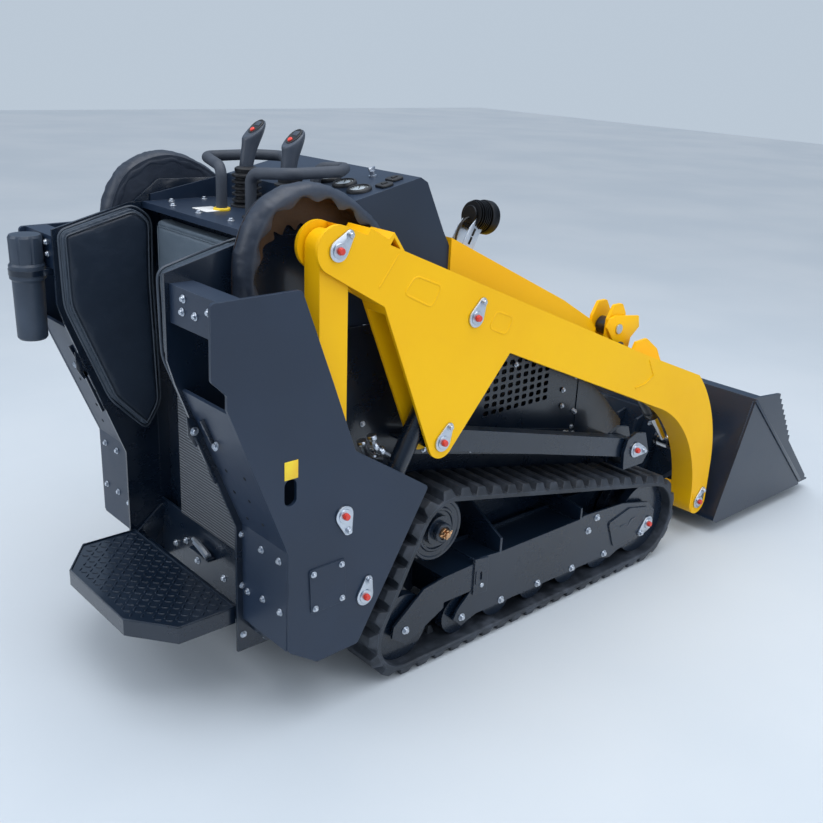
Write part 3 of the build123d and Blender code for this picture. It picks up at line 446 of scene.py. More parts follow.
def lathe(profile, sides=36):
    deselect()
    bpy.ops.mesh.primitive_circle_add(vertices=len(profile), radius=1, fill_type="NOTHING")
    piece = bpy.context.object
    for vertex, (radius, height) in zip(piece.data.vertices, profile):
        vertex.co = (radius * mm, 0, height * mm)
    selectEdges(piece, lambda ends: all(end.x < 0.00001 for end in ends))
    bpy.ops.mesh.delete(type="EDGE")
    bpy.ops.object.mode_set(mode="OBJECT")
    modify(piece, "SCREW", steps=sides, render_steps=sides, use_merge_vertices=True, merge_threshold=0.00001)
    return outward(piece)


def ringed(around, cuts):  # open tube of radius 1 from z -0.5 to 0.5, cut into even rings
    deselect()
    bpy.ops.mesh.primitive_cylinder_add(vertices=around, radius=1, depth=1, end_fill_type="NOTHING")
    piece = bpy.context.object
    selectEdges(piece, lambda ends: ends[0].z * ends[1].z < 0)
    bpy.ops.mesh.subdivide_edgering(number_cuts=cuts, interpolation="LINEAR")
    bpy.ops.object.mode_set(mode="OBJECT")
    return piece


def copies(master, places):
    made = []
    for place in places:
        copy = master.copy()
        copy.data = master.data.copy()
        bpy.context.scene.collection.objects.link(copy)
        made.append(placed(copy, place))
    return join(*made)


def drop(*pieces):
    for piece in pieces:
        bpy.data.objects.remove(piece)


def onSide(side, x, z, out, turn=0.0):  # a piece's z faces out of the flank, its x lies level
    outwards = Matrix(((-side, 0, 0), (0, 0, 1), (0, side, 0))).transposed().to_4x4()
    angle = turn if side < 0 else pi - turn
    return Matrix.Translation((x * mm, side * out * mm, z * mm)) @ outwards @ Matrix.Rotation(angle, 4, "Z")


def facing(x, y, z, normal, turn=0.0):
    aim = Vector(normal).to_track_quat("Z", "Y").to_matrix().to_4x4()
    return Matrix.Translation((x * mm, y * mm, z * mm)) @ aim @ Matrix.Rotation(turn, 4, "Z")


def pipe(points, radius, sides=12, closed=False, smooth=True):
    deselect()
    curve = bpy.data.curves.new("pipe", "CURVE")
    curve.dimensions = "3D"
    curve.bevel_depth = radius
    curve.bevel_resolution = max(1, sides // 4 - 1)
    curve.resolution_u = 6
    curve.use_fill_caps = True
    line = curve.splines.new("BEZIER" if smooth else "POLY")
    spots = line.bezier_points if smooth else line.points
    spots.add(len(points) - 1)
    for spot, point in zip(spots, points):
        spot.co = point if smooth else (*point, 1)
        if smooth:
            spot.handle_left_type = "AUTO"
            spot.handle_right_type = "AUTO"
    line.use_cyclic_u = closed
    piece = bpy.data.objects.new("pipe", curve)
    bpy.context.scene.collection.objects.link(piece)
    only(piece)
    bpy.ops.object.convert(target="MESH")
    return bpy.context.object


def sidePlates(name, parts, finish, body):  # parts: outline, inner and outer face, bevel
    for sideName, side in sides:
        made = join(*[sheet(side, *part) for part in parts])
        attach(dress(made, f"{name}{sideName}", finish), body)


# teardrop pin retainers: plate, steel washer, red cap and a small bolt on the tail
pinRetainer = {"head": 27, "tail": 13, "reach": 46, "thick": 6, "bevel": 1.6, "washer": 19, "cap": 10, "bolt": 9}
retainerPlaces = {  # x, z, distance out and turn of each pin
    "chassis": ((-1023, 588, 518, -75), (-948, 332, 518, 78), (250, 455, 482, -15), (362, 152, 493, 215)),
    "arms": ((-1032, 1253, 485, 48), (-565, 1029, 485, 62), (-663, 693, 485, 60), (690, 144, 485, 64)),
}


def makeBolt(head):
    washer = turned(head * 1.25, 2.2, 22, bevel=0.5)
    flange = turned(head, 2, 22, top=head * 0.95, low=2)
    hexagon = turned(head * 0.84, head * 0.62, 6, low=3, bevel=1.1)
    return join(washer, flange, hexagon)


def makeRetainer():
    size = pinRetainer
    lean = atan2(size["head"] - size["tail"], size["reach"])
    outline = []
    for centre, radius, start, sweep, steps in ((0, size["head"], pi / 2 - lean, pi + 2 * lean, 14),
                                                (size["reach"], size["tail"], lean - pi / 2, pi - 2 * lean, 8)):
        for step in range(steps + 1):
            angle = start + sweep * step / steps
            outline.append(((centre + radius * cos(angle)) * mm, radius * sin(angle) * mm))
    base = plate(outline, size["thick"] * mm, size["bevel"] * mm)
    washer = turned(size["washer"], 4, 28, low=size["thick"], bevel=0.8)
    bolt = placed(makeBolt(size["bolt"]), Matrix.Translation((size["reach"] * mm, 0, size["thick"] * mm)))
    cap = turned(size["cap"], 9, 20, top=size["cap"] * 0.8, low=size["thick"] + 4, bevel=1)
    return join(base, washer, bolt), cap


steelRetainer, redCap = makeRetainer()
for body, rows in retainerPlaces.items():
    for sideName, side in sides:
        spots = [onSide(side, x, z, out, radians(turn)) for x, z, out, turn in rows]
        steel = dress(copies(steelRetainer, spots), f"{body}PinRetainers{sideName}", boltSteel)
        caps = dress(copies(redCap, spots), f"{body}PinCaps{sideName}", redPlastic)
        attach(steel, body)
        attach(caps, body)
drop(steelRetainer, redCap)
print("pin retainers done")

# bolts on the flanks, by the face they sit on: its distance out, the head's radius, and x, z of each
sideBolts = {
    "trackFrame": (488, 10, ((-541, 100), (-372, 100), (-203, 100), (-34, 100), (135, 100), (-766, 140),
                             (73, 254), (33, 217), (-470, 188))),
    "accessPlate": (522, 7, ((-1117, 452), (-1029, 453), (-1025, 354), (-1110, 352))),
    "fender": (388, 7, ((-640, 633), (-544, 610), (-450, 588), (-356, 565), (-260, 542), (-165, 519),
                        (-70, 496), (23, 475))),
    "hull": (308, 7, ((-610, 655), (-539, 636), (-350, 592), (-120, 542), (80, 500), (-800, 720), (-1075, 700),
                      (52, 656), (124, 565), (125, 488), (95, 495), (-190, 786), (53, 600))),
    "grille": (305, 7, ((-465, 955), (-465, 800), (-465, 665), (-330, 905), (-190, 850), (-40, 795), (85, 748),
                        (118, 690), (118, 570), (118, 512))),
    "wall": (308, 8, ((-1190, 500), (-1190, 350), (-1190, 200), (-1120, 170), (-1230, 700), (-1300, 850))),
}
flangeBolts = {"head": 8, "low": {"x": -1190, "spots": ((400, 493), (478, 494), (405, 353), (483, 352), (334, 342))},
               "high": {"x": -1371.6, "spots": ((372, 1158), (366, 1127), (422, 1129), (480, 1150))}}
deckBolts = {"head": 8, "z": 1263, "spots": ((-946, 261), (-946, -261), (-1084, 53), (-1071, -86), (-1084, 190),
                                             (-1050, 261), (-1084, -190), (-1050, -261))}


def boltsAt(head, places, name):
    bolt = makeBolt(head)
    made = dress(copies(bolt, places), name, boltSteel)
    drop(bolt)
    return made


for group, (out, head, spots) in sideBolts.items():
    for sideName, side in sides:
        places = [onSide(side, x, z, out, 0.4 * count) for count, (x, z) in enumerate(spots)]
        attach(boltsAt(head, places, f"{group}Bolts{sideName}"), "chassis")
places = []
for sideName, side in sides:
    for row in (flangeBolts["low"], flangeBolts["high"]):
        places += [facing(row["x"], side * y, z, (-1, 0, 0), row["x"] + y) for y, z in row["spots"]]
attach(boltsAt(flangeBolts["head"], places, "rearFlangeBolts"), "chassis")
places = [facing(x, y, deckBolts["z"], (0, 0, 1)) for x, y in deckBolts["spots"]]
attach(boltsAt(deckBolts["head"], places, "deckBolts"), "chassis")
print("bolts done")

# platform checker plate: short ribs that alternate in direction, raised on the deck
checker = {"pitch": 35, "spacing": 0.62, "length": 19, "width": 6.5, "height": 2.6, "top": 272.8, "front": -1207,
           "rear": -1452, "half": 276, "bevelX": -1366, "rearHalf": 158, "rows": 20, "columns": 20, "lead": 10,
           "margin": 8, "shoulder": 0.55, "crownLength": 0.86, "crownWidth": 0.6}


def onDeck(x, y):
    size = checker
    if not size["rear"] < x < size["front"] or abs(y) > size["half"]:
        return False
    share = (size["bevelX"] - x) / (size["bevelX"] - size["rear"])
    return share < 0 or abs(y) < size["half"] + share * (size["rearHalf"] - size["half"])


def makeRib():
    length, width = checker["length"] * mm / 2, checker["width"] * mm / 2
    shoulder = length * checker["shoulder"]
    outline = ((-length, 0), (-shoulder, -width), (shoulder, -width), (length, 0), (shoulder, width),
               (-shoulder, width))
    rib = plate(outline, checker["height"] * mm)
    for vertex in rib.data.vertices:
        if vertex.co.z > 0.0001:
            vertex.co.x *= checker["crownLength"]
            vertex.co.y *= checker["crownWidth"]
    return rib


rib = makeRib()
ribPlaces = []
step = checker["pitch"] * checker["spacing"]
margin = checker["margin"]
for row in range(-checker["rows"], checker["rows"] + 1):
    for column in range(checker["columns"]):
        x, y = checker["front"] - checker["lead"] - column * step, row * step
        if onDeck(x, y) and onDeck(x - margin, y + margin) and onDeck(x - margin, y - margin):
            turn = pi / 4 if (row + column) % 2 else -pi / 4
            place = Matrix.Translation((x * mm, y * mm, checker["top"] * mm))
            ribPlaces.append(place @ Matrix.Rotation(turn, 4, "Z"))
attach(dress(copies(rib, ribPlaces), "platformCheckerRibs", blackPaint), "platform_body")
drop(rib)
print("platform ribs:", len(ribPlaces))


# padded leather: outlines, the cloth run that swells a pad, and the distance to a seam
def rounded(points, radius, steps=5):
    made = []
    total = len(points)
    for index, corner in enumerate(points):
        before, after = Vector(points[index - 1]), Vector(points[(index + 1) % total])
        corner = Vector(corner)
        toBefore, toAfter = (before - corner).normalized(), (after - corner).normalized()
        reach = min(radius, (before - corner).length * 0.4, (after - corner).length * 0.4)
        start, end = corner + toBefore * reach, corner + toAfter * reach
        for step in range(steps + 1):
            share = step / steps
            made.append(start * (1 - share) ** 2 + corner * 2 * share * (1 - share) + end * share ** 2)
    return made


def inset(points, distance):
    made = []
    total = len(points)
    area = sum(points[i - 1][0] * points[i][1] - points[i][0] * points[i - 1][1] for i in range(total))
    turn = 1 if area > 0 else -1
    for index in range(total):
        before, here, after = (Vector(points[(index + step) % total]) for step in (-1, 0, 1))
        first, second = (here - before).normalized(), (after - here).normalized()
        normal = (Vector((-first.y, first.x)) + Vector((-second.y, second.x))) * turn
        made.append(here + normal.normalized() * distance)
    return made


def swell(piece, reach, pressure=4.0, voxel=0.006, frames=20):
    modify(piece, "REMESH", mode="VOXEL", voxel_size=voxel)
    start = [vertex.co.copy() for vertex in piece.data.vertices]
    only(piece)
    cloth = piece.modifiers.new("cloth", "CLOTH")
    cloth.settings.use_pressure = True
    cloth.settings.uniform_pressure_force = pressure
    cloth.settings.effector_weights.gravity = 0
    cloth.point_cache.frame_start = 1
    cloth.point_cache.frame_end = frames
    for step in range(1, frames + 1):
        bpy.context.scene.frame_set(step)
    bpy.ops.object.modifier_apply(modifier=cloth.name)
    bpy.context.scene.frame_set(1)
    for vertex, rest in zip(piece.data.vertices, start):
        move = vertex.co - rest
        if move.length > reach:
            vertex.co = rest + move.normalized() * reach
    return piece


def nearLine(point, line):
    best = 1e9
    for index in range(len(line)):
        start, end = line[index - 1], line[index]
        span = end - start
        share = max(0.0, min(1.0, (point - start).dot(span) / span.length_squared))
        best = min(best, (start + span * share - point).length)
    return best


def stitched(near, size):  # how deep the seam draws the leather in, at a distance from it
    return size["groove"] * mm * max(0.0, 1 - (near / (size["grooveHalf"] * mm)) ** 2)


# thigh pads: swollen by a short cloth run, with a sewn border, a piped seam and a welt round the edge; border, seam
# and welt are in lighter leather as painted sheen
thighPad = {"outline": ((-1379, 1204), (-1163, 1260), (-1110, 1220), (-1114, 1047), (-1104, 678), (-1153, 600),
                        (-1260, 712), (-1375, 1000)), "corner": 24, "inner": 262, "outer": 297, "flat": 299.6,
            "swell": 7, "border": 15, "groove": 3.5, "grooveHalf": 7, "face": 6, "seam": 2.4, "seamOut": 3.5,
            "welt": 3.4, "weltIn": 8, "weltOut": 0.5, "fill": 0.7}
size = thighPad
for sideName, side in sides:
    outline = rounded(scaled(size["outline"]), size["corner"] * mm)
    pad = plate([(point.x, point.y) for point in outline], (size["outer"] - size["inner"]) * mm)
    outward(placed(pad, upright(side, size["inner"])))
    swell(pad, size["swell"] * mm)
    modify(pad, "SUBSURF", levels=1, render_levels=1)
    seam = inset(outline, size["border"] * mm)
    for vertex in pad.data.vertices:
        near = nearLine(Vector((vertex.co.x, vertex.co.z)), seam)
        if abs(vertex.co.y) < (size["inner"] + size["face"]) * mm:
            vertex.co.y += side * stitched(near, size)
        vertex.co.y = side * min(abs(vertex.co.y), size["flat"] * mm)
    dress(pad, f"thighPad{sideName}", padLeather, 60)
    # the border band takes the lighter leather: painted sheen
    pad.data.materials.append(sheenEdgeLeather)
    for face in pad.data.polygons:
        spot = Vector((face.center.x, face.center.z))
        face.material_index = 1 if nearLine(spot, outline) < (size["border"] - 1) * mm else 0
    across = side * (size["inner"] - size["seamOut"]) * mm
    piping = pipe([Vector((point.x, across, point.y)) for point in seam], size["seam"] * mm, 8, True)
    dress(piping, f"thighPadSeam{sideName}", sheenPipingLeather, 60)
    across = side * (size["inner"] + size["weltIn"]) * mm
    edge = inset(outline, -size["weltOut"] * mm)
    welt = pipe([Vector((point.x, across, point.y)) for point in edge], size["welt"] * mm, 8, True)
    dress(welt, f"thighPadWelt{sideName}", sheenPipingLeather, 60)
    for piece in (pad, piping, welt):
        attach(piece, "chassis")
    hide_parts(f"thigh_pad_{sideName.lower()}")
print("thigh pads done")

# grey pad on the bulkhead between the thigh pads
centrePad = {"half": 246, "low": 1045, "high": 1225, "rear": -1110, "front": -1069, "flat": -1064.4, "corner": 30,
             "swell": 6, "border": 20, "groove": 3, "grooveHalf": 7, "face": 6, "seam": 2.2, "seamOut": 3,
             "fill": 0.7}
size = centrePad
corners = [(across * size["half"], size[height])
           for across, height in ((-1, "low"), (1, "low"), (1, "high"), (-1, "high"))]
outline = rounded(scaled(corners), size["corner"] * mm)
pad = plate([(point.x, point.y) for point in outline], (size["front"] - size["rear"]) * mm)
turn = Matrix(((0, 0, -1, size["front"] * mm), (-1, 0, 0, 0), (0, 1, 0, 0), (0, 0, 0, 1)))
outward(placed(pad, turn))
swell(pad, size["swell"] * mm)
modify(pad, "SUBSURF", levels=1, render_levels=1)
seam = inset(outline, size["border"] * mm)
for vertex in pad.data.vertices:
    near = nearLine(Vector((-vertex.co.y, vertex.co.z)), seam)
    if vertex.co.x < (size["rear"] + size["face"]) * mm:
        vertex.co.x += stitched(near, size)
    vertex.co.x = min(vertex.co.x, size["flat"] * mm)
dress(pad, "centrePad", greyLeather, 60)
behind = (size["rear"] - size["seamOut"]) * mm
piping = pipe([Vector((behind, -point.x, point.y)) for point in seam], size["seam"] * mm, 8, True)
dress(piping, "centrePadSeam", greyLeather, 60)
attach(pad, "chassis")
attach(piping, "chassis")
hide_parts("centre_pad")
print("centre pad done")

# leather hose sleeves: a swept wrap with a scalloped, gathered inner edge, and dark brown painted shade on its inner
# faces
sleeve = {"route": ((-1200, 1112), (-1194, 1236), (-1142, 1332), (-1036, 1370), (-927, 1338), (-836, 1268),
                    (-777, 1192)), "hub": (-1000, 1180), "mid": 348.2, "halfWidth": 38, "outer": 24, "inner": 20,
          "rings": 150, "around": 28, "scallops": 8.5, "scallop": 11, "wrinkle": 1.6, "hem": 0.04, "fold": -0.62,
          "brownShadeHalf": 33}
sleeveSkirt = {"inner": 313, "outer": 316, "rim": 14, "reach": 88, "scallop": 9, "waves": 8.5, "steps": 72}


def curvePoint(points, share):  # a smooth curve through the points, of which share is run
    spot = share * (len(points) - 1)
    index = min(int(spot), len(points) - 2)
    local = spot - index
    a, b, c, d = (Vector(points[max(0, min(len(points) - 1, index + step))]) for step in (-1, 0, 1, 2))
    return 0.5 * (2 * b + (c - a) * local + (2 * a - 5 * b + 4 * c - d) * local ** 2
                  + (3 * b - a - 3 * c + d) * local ** 3)


def onSleeve(share):  # the route's point and the direction away from the hub
    route = sleeve["route"]
    ahead = curvePoint(route, min(1, share + 0.01)) - curvePoint(route, max(0, share - 0.01))
    ahead.normalize()
    return curvePoint(route, share), Vector((-ahead.y, ahead.x))


size = sleeve
middles = [curvePoint(size["route"], step / 60) for step in range(61)]
hub = Vector(size["hub"])
for sideName, side in sides:
    wrap = ringed(size["around"], size["rings"])
    for vertex in wrap.data.vertices:
        share = vertex.co.z + 0.5
        angle = atan2(vertex.co.y, vertex.co.x)
        here, outside = onSleeve(share)
        high, wide = sin(angle), cos(angle)
        wave = sin(share * 2 * pi * size["scallops"] + 0.6 * sin(share * 9) + side)
        ends = min(1, share / size["hem"], (1 - share) / size["hem"])
        crease = noise.noise(Vector((share * 22, angle * 1.1, side * 3.0)))
        pucker = noise.noise(Vector((share * 70, angle * 0.8, side * 7.0)))
        if high > 0:
            lift = size["outer"] * high
        elif high > size["fold"]:
            lift = (size["inner"] + size["scallop"] * wave * ends) * high * 1.5
        else:
            lift = -size["inner"] * 0.25
        lift += (crease * size["wrinkle"] * 1.6 + pucker * size["wrinkle"]) * (0.6 + 0.4 * abs(high))
        reach = (size["halfWidth"] - 1.5 + crease * 1.2) * (wide if high > size["fold"] else wide * 0.9)
        flat = here + outside * lift
        vertex.co = Vector((flat.x, side * size["mid"] + reach, flat.y)) * mm
    dress(capped(wrap), f"hoseSleeve{sideName}", sleeveLeather, 70)
    # the hub-facing inner faces turn dark brown: painted shade
    wrap.data.materials.append(shadedBrownLeather)
    for face in wrap.data.polygons:
        centre = Vector((face.center.x, face.center.z)) / mm
        middle = min(middles, key=lambda spot: (spot - centre).length)
        across = abs(face.center.y / mm - side * size["mid"])
        if (centre - hub).length < (middle - hub).length - 2 and across < size["brownShadeHalf"]:
            face.material_index = 1
    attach(wrap, "chassis")
    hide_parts(f"hose_sleeve_{sideName.lower()}")
size = sleeveSkirt
for sideName, side in sides:
    above, below = [], []
    for step in range(size["steps"] + 1):
        share = step / size["steps"]
        here, outside = onSleeve(share)
        fullness = sin(pi * share) ** 0.5
        depth = size["rim"] + (size["reach"] - size["rim"]) * fullness
        depth += size["scallop"] * fullness * sin(share * 2 * pi * size["waves"])
        above.append(here + outside * size["rim"])
        below.append(here - outside * depth)
    skirt = sheet(side, above + below[::-1], size["inner"], size["outer"], 0)
    dress(skirt, f"hoseSleeveSkirt{sideName}", sleeveLeather, 40)
    # the skirt's outer face is dark brown: painted shade
    skirt.data.materials.append(shadedBrownLeather)
    for face in skirt.data.polygons:
        face.material_index = 1 if abs(face.center.y) > (size["outer"] - 0.3) * mm else 0
    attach(skirt, "chassis")
print("sleeves done")

# rubber tracks: belt, chamfered lugs outside and guide teeth inside, along a loop round three wheels
track = {"wheels": ((-628, 403, 104), (-766, 140, 102), (354, 166, 128)), "mid": 415, "half": 90, "belt": 16,
         "count": 49, "samples": 190, "arcSteps": 24, "sprocketFree": 125}
lugSize = {"root": 50, "tip": 30, "sunk": 3, "height": 22, "taper": 0.88, "waist": 0.82, "bevel": 2.2}
guideSize = {"half": 13, "halfWidth": 11, "height": 24, "tip": 0.5, "tipWidth": 0.6, "bevel": 2}


def loopRun(extra):  # the loop round the wheels, a distance outside the belt's inner face
    wheels = track["wheels"]
    spots = []
    for index, here in enumerate(wheels):
        before, after = wheels[index - 1], wheels[(index + 1) % len(wheels)]
        angles = []
        for start, end in ((before, here), (here, after)):
            span = Vector((end[0] - start[0], end[1] - start[1]))
            angles.append(atan2(span.y, span.x) - acos((start[2] - end[2]) / span.length))
        turn = (angles[1] - angles[0]) % (2 * pi)
        radius = here[2] + extra
        for step in range(track["arcSteps"] + 1):
            angle = angles[0] + turn * step / track["arcSteps"]
            spots.append(Vector((here[0] + radius * cos(angle), here[1] + radius * sin(angle))))
    return spots


def evenly(spots, count, shift=0.0):
    lengths = [(spots[(index + 1) % len(spots)] - spots[index]).length for index in range(len(spots))]
    whole = sum(lengths)
    made = []
    index, passed = 0, 0.0
    for step in range(count):
        goal = whole * (step + shift) / count
        while passed + lengths[index] < goal:
            passed += lengths[index]
            index += 1
        share = (goal - passed) / lengths[index]
        start, end = spots[index], spots[(index + 1) % len(spots)]
        made.append((start.lerp(end, share), (end - start).normalized()))
    return made


def onLoop(side, spot, run):
    out = Vector((run.y, -run.x))
    turn = Matrix(((run.x, 0, out.x), (0, -1, 0), (run.y, 0, out.y))).to_4x4()
    return Matrix.Translation((spot.x * mm, side * track["mid"] * mm, spot.y * mm)) @ turn


def makeLug():
    size, half = lugSize, track["half"]
    lug = block((-size["root"] / 2, -half, -size["sunk"]), (size["root"] / 2, half, size["height"]), 0)
    for vertex in lug.data.vertices:
        if vertex.co.z > 0:
            vertex.co.x *= size["tip"] / size["root"]
            vertex.co.y *= size["taper"]
    edited(lug, (bpy.ops.mesh.subdivide, {"number_cuts": 2}))
    for vertex in lug.data.vertices:
        if abs(vertex.co.y) < 50 * mm and vertex.co.z > 4 * mm:
            vertex.co.x *= size["waist"]
    return modify(lug, "BEVEL", width=size["bevel"] * mm, segments=2, limit_method="ANGLE", angle_limit=radians(24))


def makeGuide():
    size = guideSize
    tooth = block((-size["half"], -size["halfWidth"], 0), (size["half"], size["halfWidth"], size["height"]), 0)
    for vertex in tooth.data.vertices:
        if vertex.co.z > 0:
            vertex.co.x *= size["tip"]
            vertex.co.y *= size["tipWidth"]
    modify(tooth, "BEVEL", width=size["bevel"] * mm, segments=2)
    return placed(tooth, Matrix.Rotation(pi, 4, "X"))


def makeBelt(side):
    size = track
    half, thick = size["half"], size["belt"]
    section = ((half, 3), (half, thick - 3), (half - 3, thick), (half * 0.4, thick), (-half * 0.4, thick),
               (3 - half, thick), (-half, thick - 3), (-half, 3), (4 - half, 0.2), (-half * 0.4, 0.2),
               (half * 0.4, 0.2), (half - 4, 0.2))
    belt = ringed(len(section), size["samples"] - 1)
    rows = evenly(loopRun(0), size["samples"])
    for vertex in belt.data.vertices:
        row = round((vertex.co.z + 0.5) * size["samples"]) % size["samples"]  # the last ring closes on the first
        corner = round(atan2(vertex.co.y, vertex.co.x) / (2 * pi) * len(section)) % len(section)
        across, high = section[corner]
        vertex.co = onLoop(side, *rows[row]) @ Vector((0, side * across * mm, high * mm))
    return outward(belt)


lug, guide = makeLug(), makeGuide()
sprocket = Vector(track["wheels"][0][:2])
for sideName, side in sides:
    lugPlaces = [onLoop(side, *row) for row in evenly(loopRun(track["belt"]), track["count"], 0.5)]
    guidePlaces = [onLoop(side, *row) for row in evenly(loopRun(0), track["count"], 0.5)
                   if (row[0] - sprocket).length > track["sprocketFree"]]
    whole = join(makeBelt(side), copies(lug, lugPlaces), copies(guide, guidePlaces))
    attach(dress(whole, f"track{sideName}", trackRubber, 30), "chassis")
    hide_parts(f"track_{sideName.lower()}")
drop(lug, guide)
print("tracks done")

# drive sprocket hubs: ribbed ring, castle nut and split pin
hub = {"x": -628, "z": 403, "ring": 443, "cap": 471, "nut": 476, "nutRadius": 17, "nutHeight": 11, "bevel": 1.2,
       "crown": ((9, -4, 0), (14.5, 4, 8)), "studRadius": 8.5, "studLength": 24, "pinRadius": 1.6,
       "ringProfile": ((40, 0), (97, 0), (97, 5), (93, 8), (86, 8), (83, 5), (70, 5), (66, 9), (60, 9), (57, 5),
                       (40, 5)),
       "capProfile": ((0, 0), (29, 0), (29, 8), (26, 11), (20, 11), (18, 6), (0, 6)),
       "splitPin": ((-23, 0, 12), (-16, 2, 15), (0, 0, 15), (16, -2, 15), (24, 5, 12))}
for sideName, side in sides:
    ring = placed(lathe(hub["ringProfile"], 64), onSide(side, hub["x"], hub["z"], hub["ring"]))
    cap = placed(lathe(hub["capProfile"], 36), onSide(side, hub["x"], hub["z"], hub["cap"]))
    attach(dress(join(ring, cap), f"sprocketRing{sideName}", blackPaint), "chassis")
    nut = turned(hub["nutRadius"], hub["nutHeight"], 6, bevel=hub["bevel"])
    lift = Matrix.Translation((0, 0, hub["nutHeight"] * mm))
    crowns = [placed(block(*hub["crown"], 1), lift, Matrix.Rotation(pi / 3 * step + pi / 6, 4, "Z"))
              for step in range(6)]
    stud = turned(hub["studRadius"], hub["studLength"], 20, bevel=hub["bevel"])
    pin = pipe(scaled(hub["splitPin"]), hub["pinRadius"] * mm, 8)
    whole = placed(join(nut, *crowns, stud, pin), onSide(side, hub["x"], hub["z"], hub["nut"]))
    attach(dress(whole, f"castleNut{sideName}", copperNut), "chassis")
print("sprocket hubs done")

# joysticks: bellows boot with a flanged base, swept grip, oval face with a small screen and a red button
boot = {"x": -902, "y": 104, "z": 1263.3, "folds": 5, "outer": 41, "inner": 31, "low": 8, "pitch": 17,
        "base": ((0, 0), (45, 0), (45, 4), (39, 7)),
        "neck": ((31, 93), (33, 97), (33, 103), (27, 107), (16, 110), (0, 110))}
# the grip's rings, from the boot up: x, z, lean in degrees, half length and half width
grip = {"rings": ((-906, 1358, 8, 18, 17), (-904, 1368, 10, 19, 18), (-900, 1388, 13, 20, 19),
                  (-895, 1412, 14, 21, 20), (-889, 1432, 9, 24, 22), (-883, 1449, -6, 30, 26),
                  (-876, 1463, -22, 34, 29), (-872, 1472, -34, 34, 29), (-870, 1477, -40, 31, 26)),
        "around": 32, "face": (-870, 1477), "lean": -40, "back": {"Right": (-20, -7), "Left": (0, 0)},
        "oval": ((0, -2), (25, -2), (25, 1.2), (23, 2.4), (21, 1.4), (0, 1.4)), "ovalShape": (1.08, 0.86, 1, 1),
        "screen": ((2, -11, 0), (18, 11, 2.6)), "button": ((0, 0), (7, 0), (7, 4), (5.5, 5.6), (0, 6)),
        "buttonBack": -14}
for sideName, side in sides:
    profile = list(boot["base"])
    for fold in range(boot["folds"]):
        low = boot["low"] + fold * boot["pitch"]
        profile += [(boot["inner"], low + 2), (boot["outer"], low + 6), (boot["outer"], low + 11),
                    (boot["inner"], low + 15)]
    profile += boot["neck"]
    place = Matrix.Translation((boot["x"] * mm, side * boot["y"] * mm, boot["z"] * mm))
    bellows = placed(lathe(profile, 40), place)
    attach(dress(bellows, f"joystickBoot{sideName}", blackPlastic, 50), "chassis")
    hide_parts(f"joystick_{sideName.lower()}")
    rings = grip["rings"]
    stick = ringed(grip["around"], len(rings) - 2)
    back, down = grip["back"][sideName]
    for vertex in stick.data.vertices:
        share = vertex.co.z + 0.5
        x, z, lean, along, across = rings[round(share * (len(rings) - 1))]
        ahead = vertex.co.x * along
        vertex.co = Vector((x + back * share + ahead * cos(radians(lean)), side * boot["y"] + vertex.co.y * across,
                            z + down * share - ahead * sin(radians(lean)))) * mm
    modify(capped(stick), "SUBSURF", levels=1, render_levels=1)
    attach(dress(stick, f"joystickGrip{sideName}", joystickPlastic, 50), "chassis")
    place = Matrix.Translation(((grip["face"][0] + back) * mm, side * boot["y"] * mm, (grip["face"][1] + down) * mm))
    place = place @ Matrix.Rotation(radians(grip["lean"]), 4, "Y")
    oval = placed(lathe(grip["oval"], 32), place @ Matrix.Diagonal(grip["ovalShape"]))
    screen = placed(block(*grip["screen"], 1), place)
    button = placed(lathe(grip["button"], 24), place @ Matrix.Translation((grip["buttonBack"] * mm, 0, 0)))
    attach(dress(oval, f"joystickFace{sideName}", blackPlastic, 40), "chassis")
    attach(dress(screen, f"joystickPad{sideName}", joystickPlastic, 40), "chassis")
    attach(dress(button, f"joystickButton{sideName}", redPlastic, 40), "chassis")
print("joysticks done")

# dash and deck: three gauges, two key switches, ignition key, blank plate, handle feet and low side walls
dash = {"low": (-843, 1328), "high": (-617, 1377), "gauges": ((-775, -236), (-757, -150), (-745, -66)),
        "switches": ((-716, -268), (-665, -247)), "key": (-671, -163)}
gauge = {"bezel": ((25, 0), (34, 0), (34, 5), (31, 9), (27, 10), (25, 7)),
         "dial": ((0, 0), (25.5, 0), (25.5, 6), (14, 6.8), (0, 7)), "ticks": 11, "firstTick": -30, "tickStep": 24,
         "needle": 128}
keySwitch = {"outline": ((-16, -20), (16, -20), (20, -10), (20, 14), (10, 22), (-10, 22), (-20, 14), (-20, -10)),
             "thick": 7, "bevel": 2, "bar": ((-4, -9, 6), (4, 9, 10))}
deckPlate = {"low": (-1058, 56, 1263.2), "high": (-998, 134, 1264.6), "bevel": 0.6}
handleFoot = {"x": -1002, "y": 72, "z": 1263.2, "profile": ((15.3, 0), (23, 0), (23, 5), (21, 7), (15.3, 7))}
deckSideWall = {"outline": ((-1163, 1250), (-1069, 1321), (-856, 1318), (-843, 1326), (-843, 1250)),
                "inner": 300.4, "outer": 307.6, "bevel": 1}
dashSpan = Vector(dash["high"]) - Vector(dash["low"])
dashNormal = (-dashSpan.y, 0, dashSpan.x)


def onDash(x, y):
    return facing(x, y, dash["low"][1] + (x - dash["low"][0]) * dashSpan.y / dashSpan.x, dashNormal)


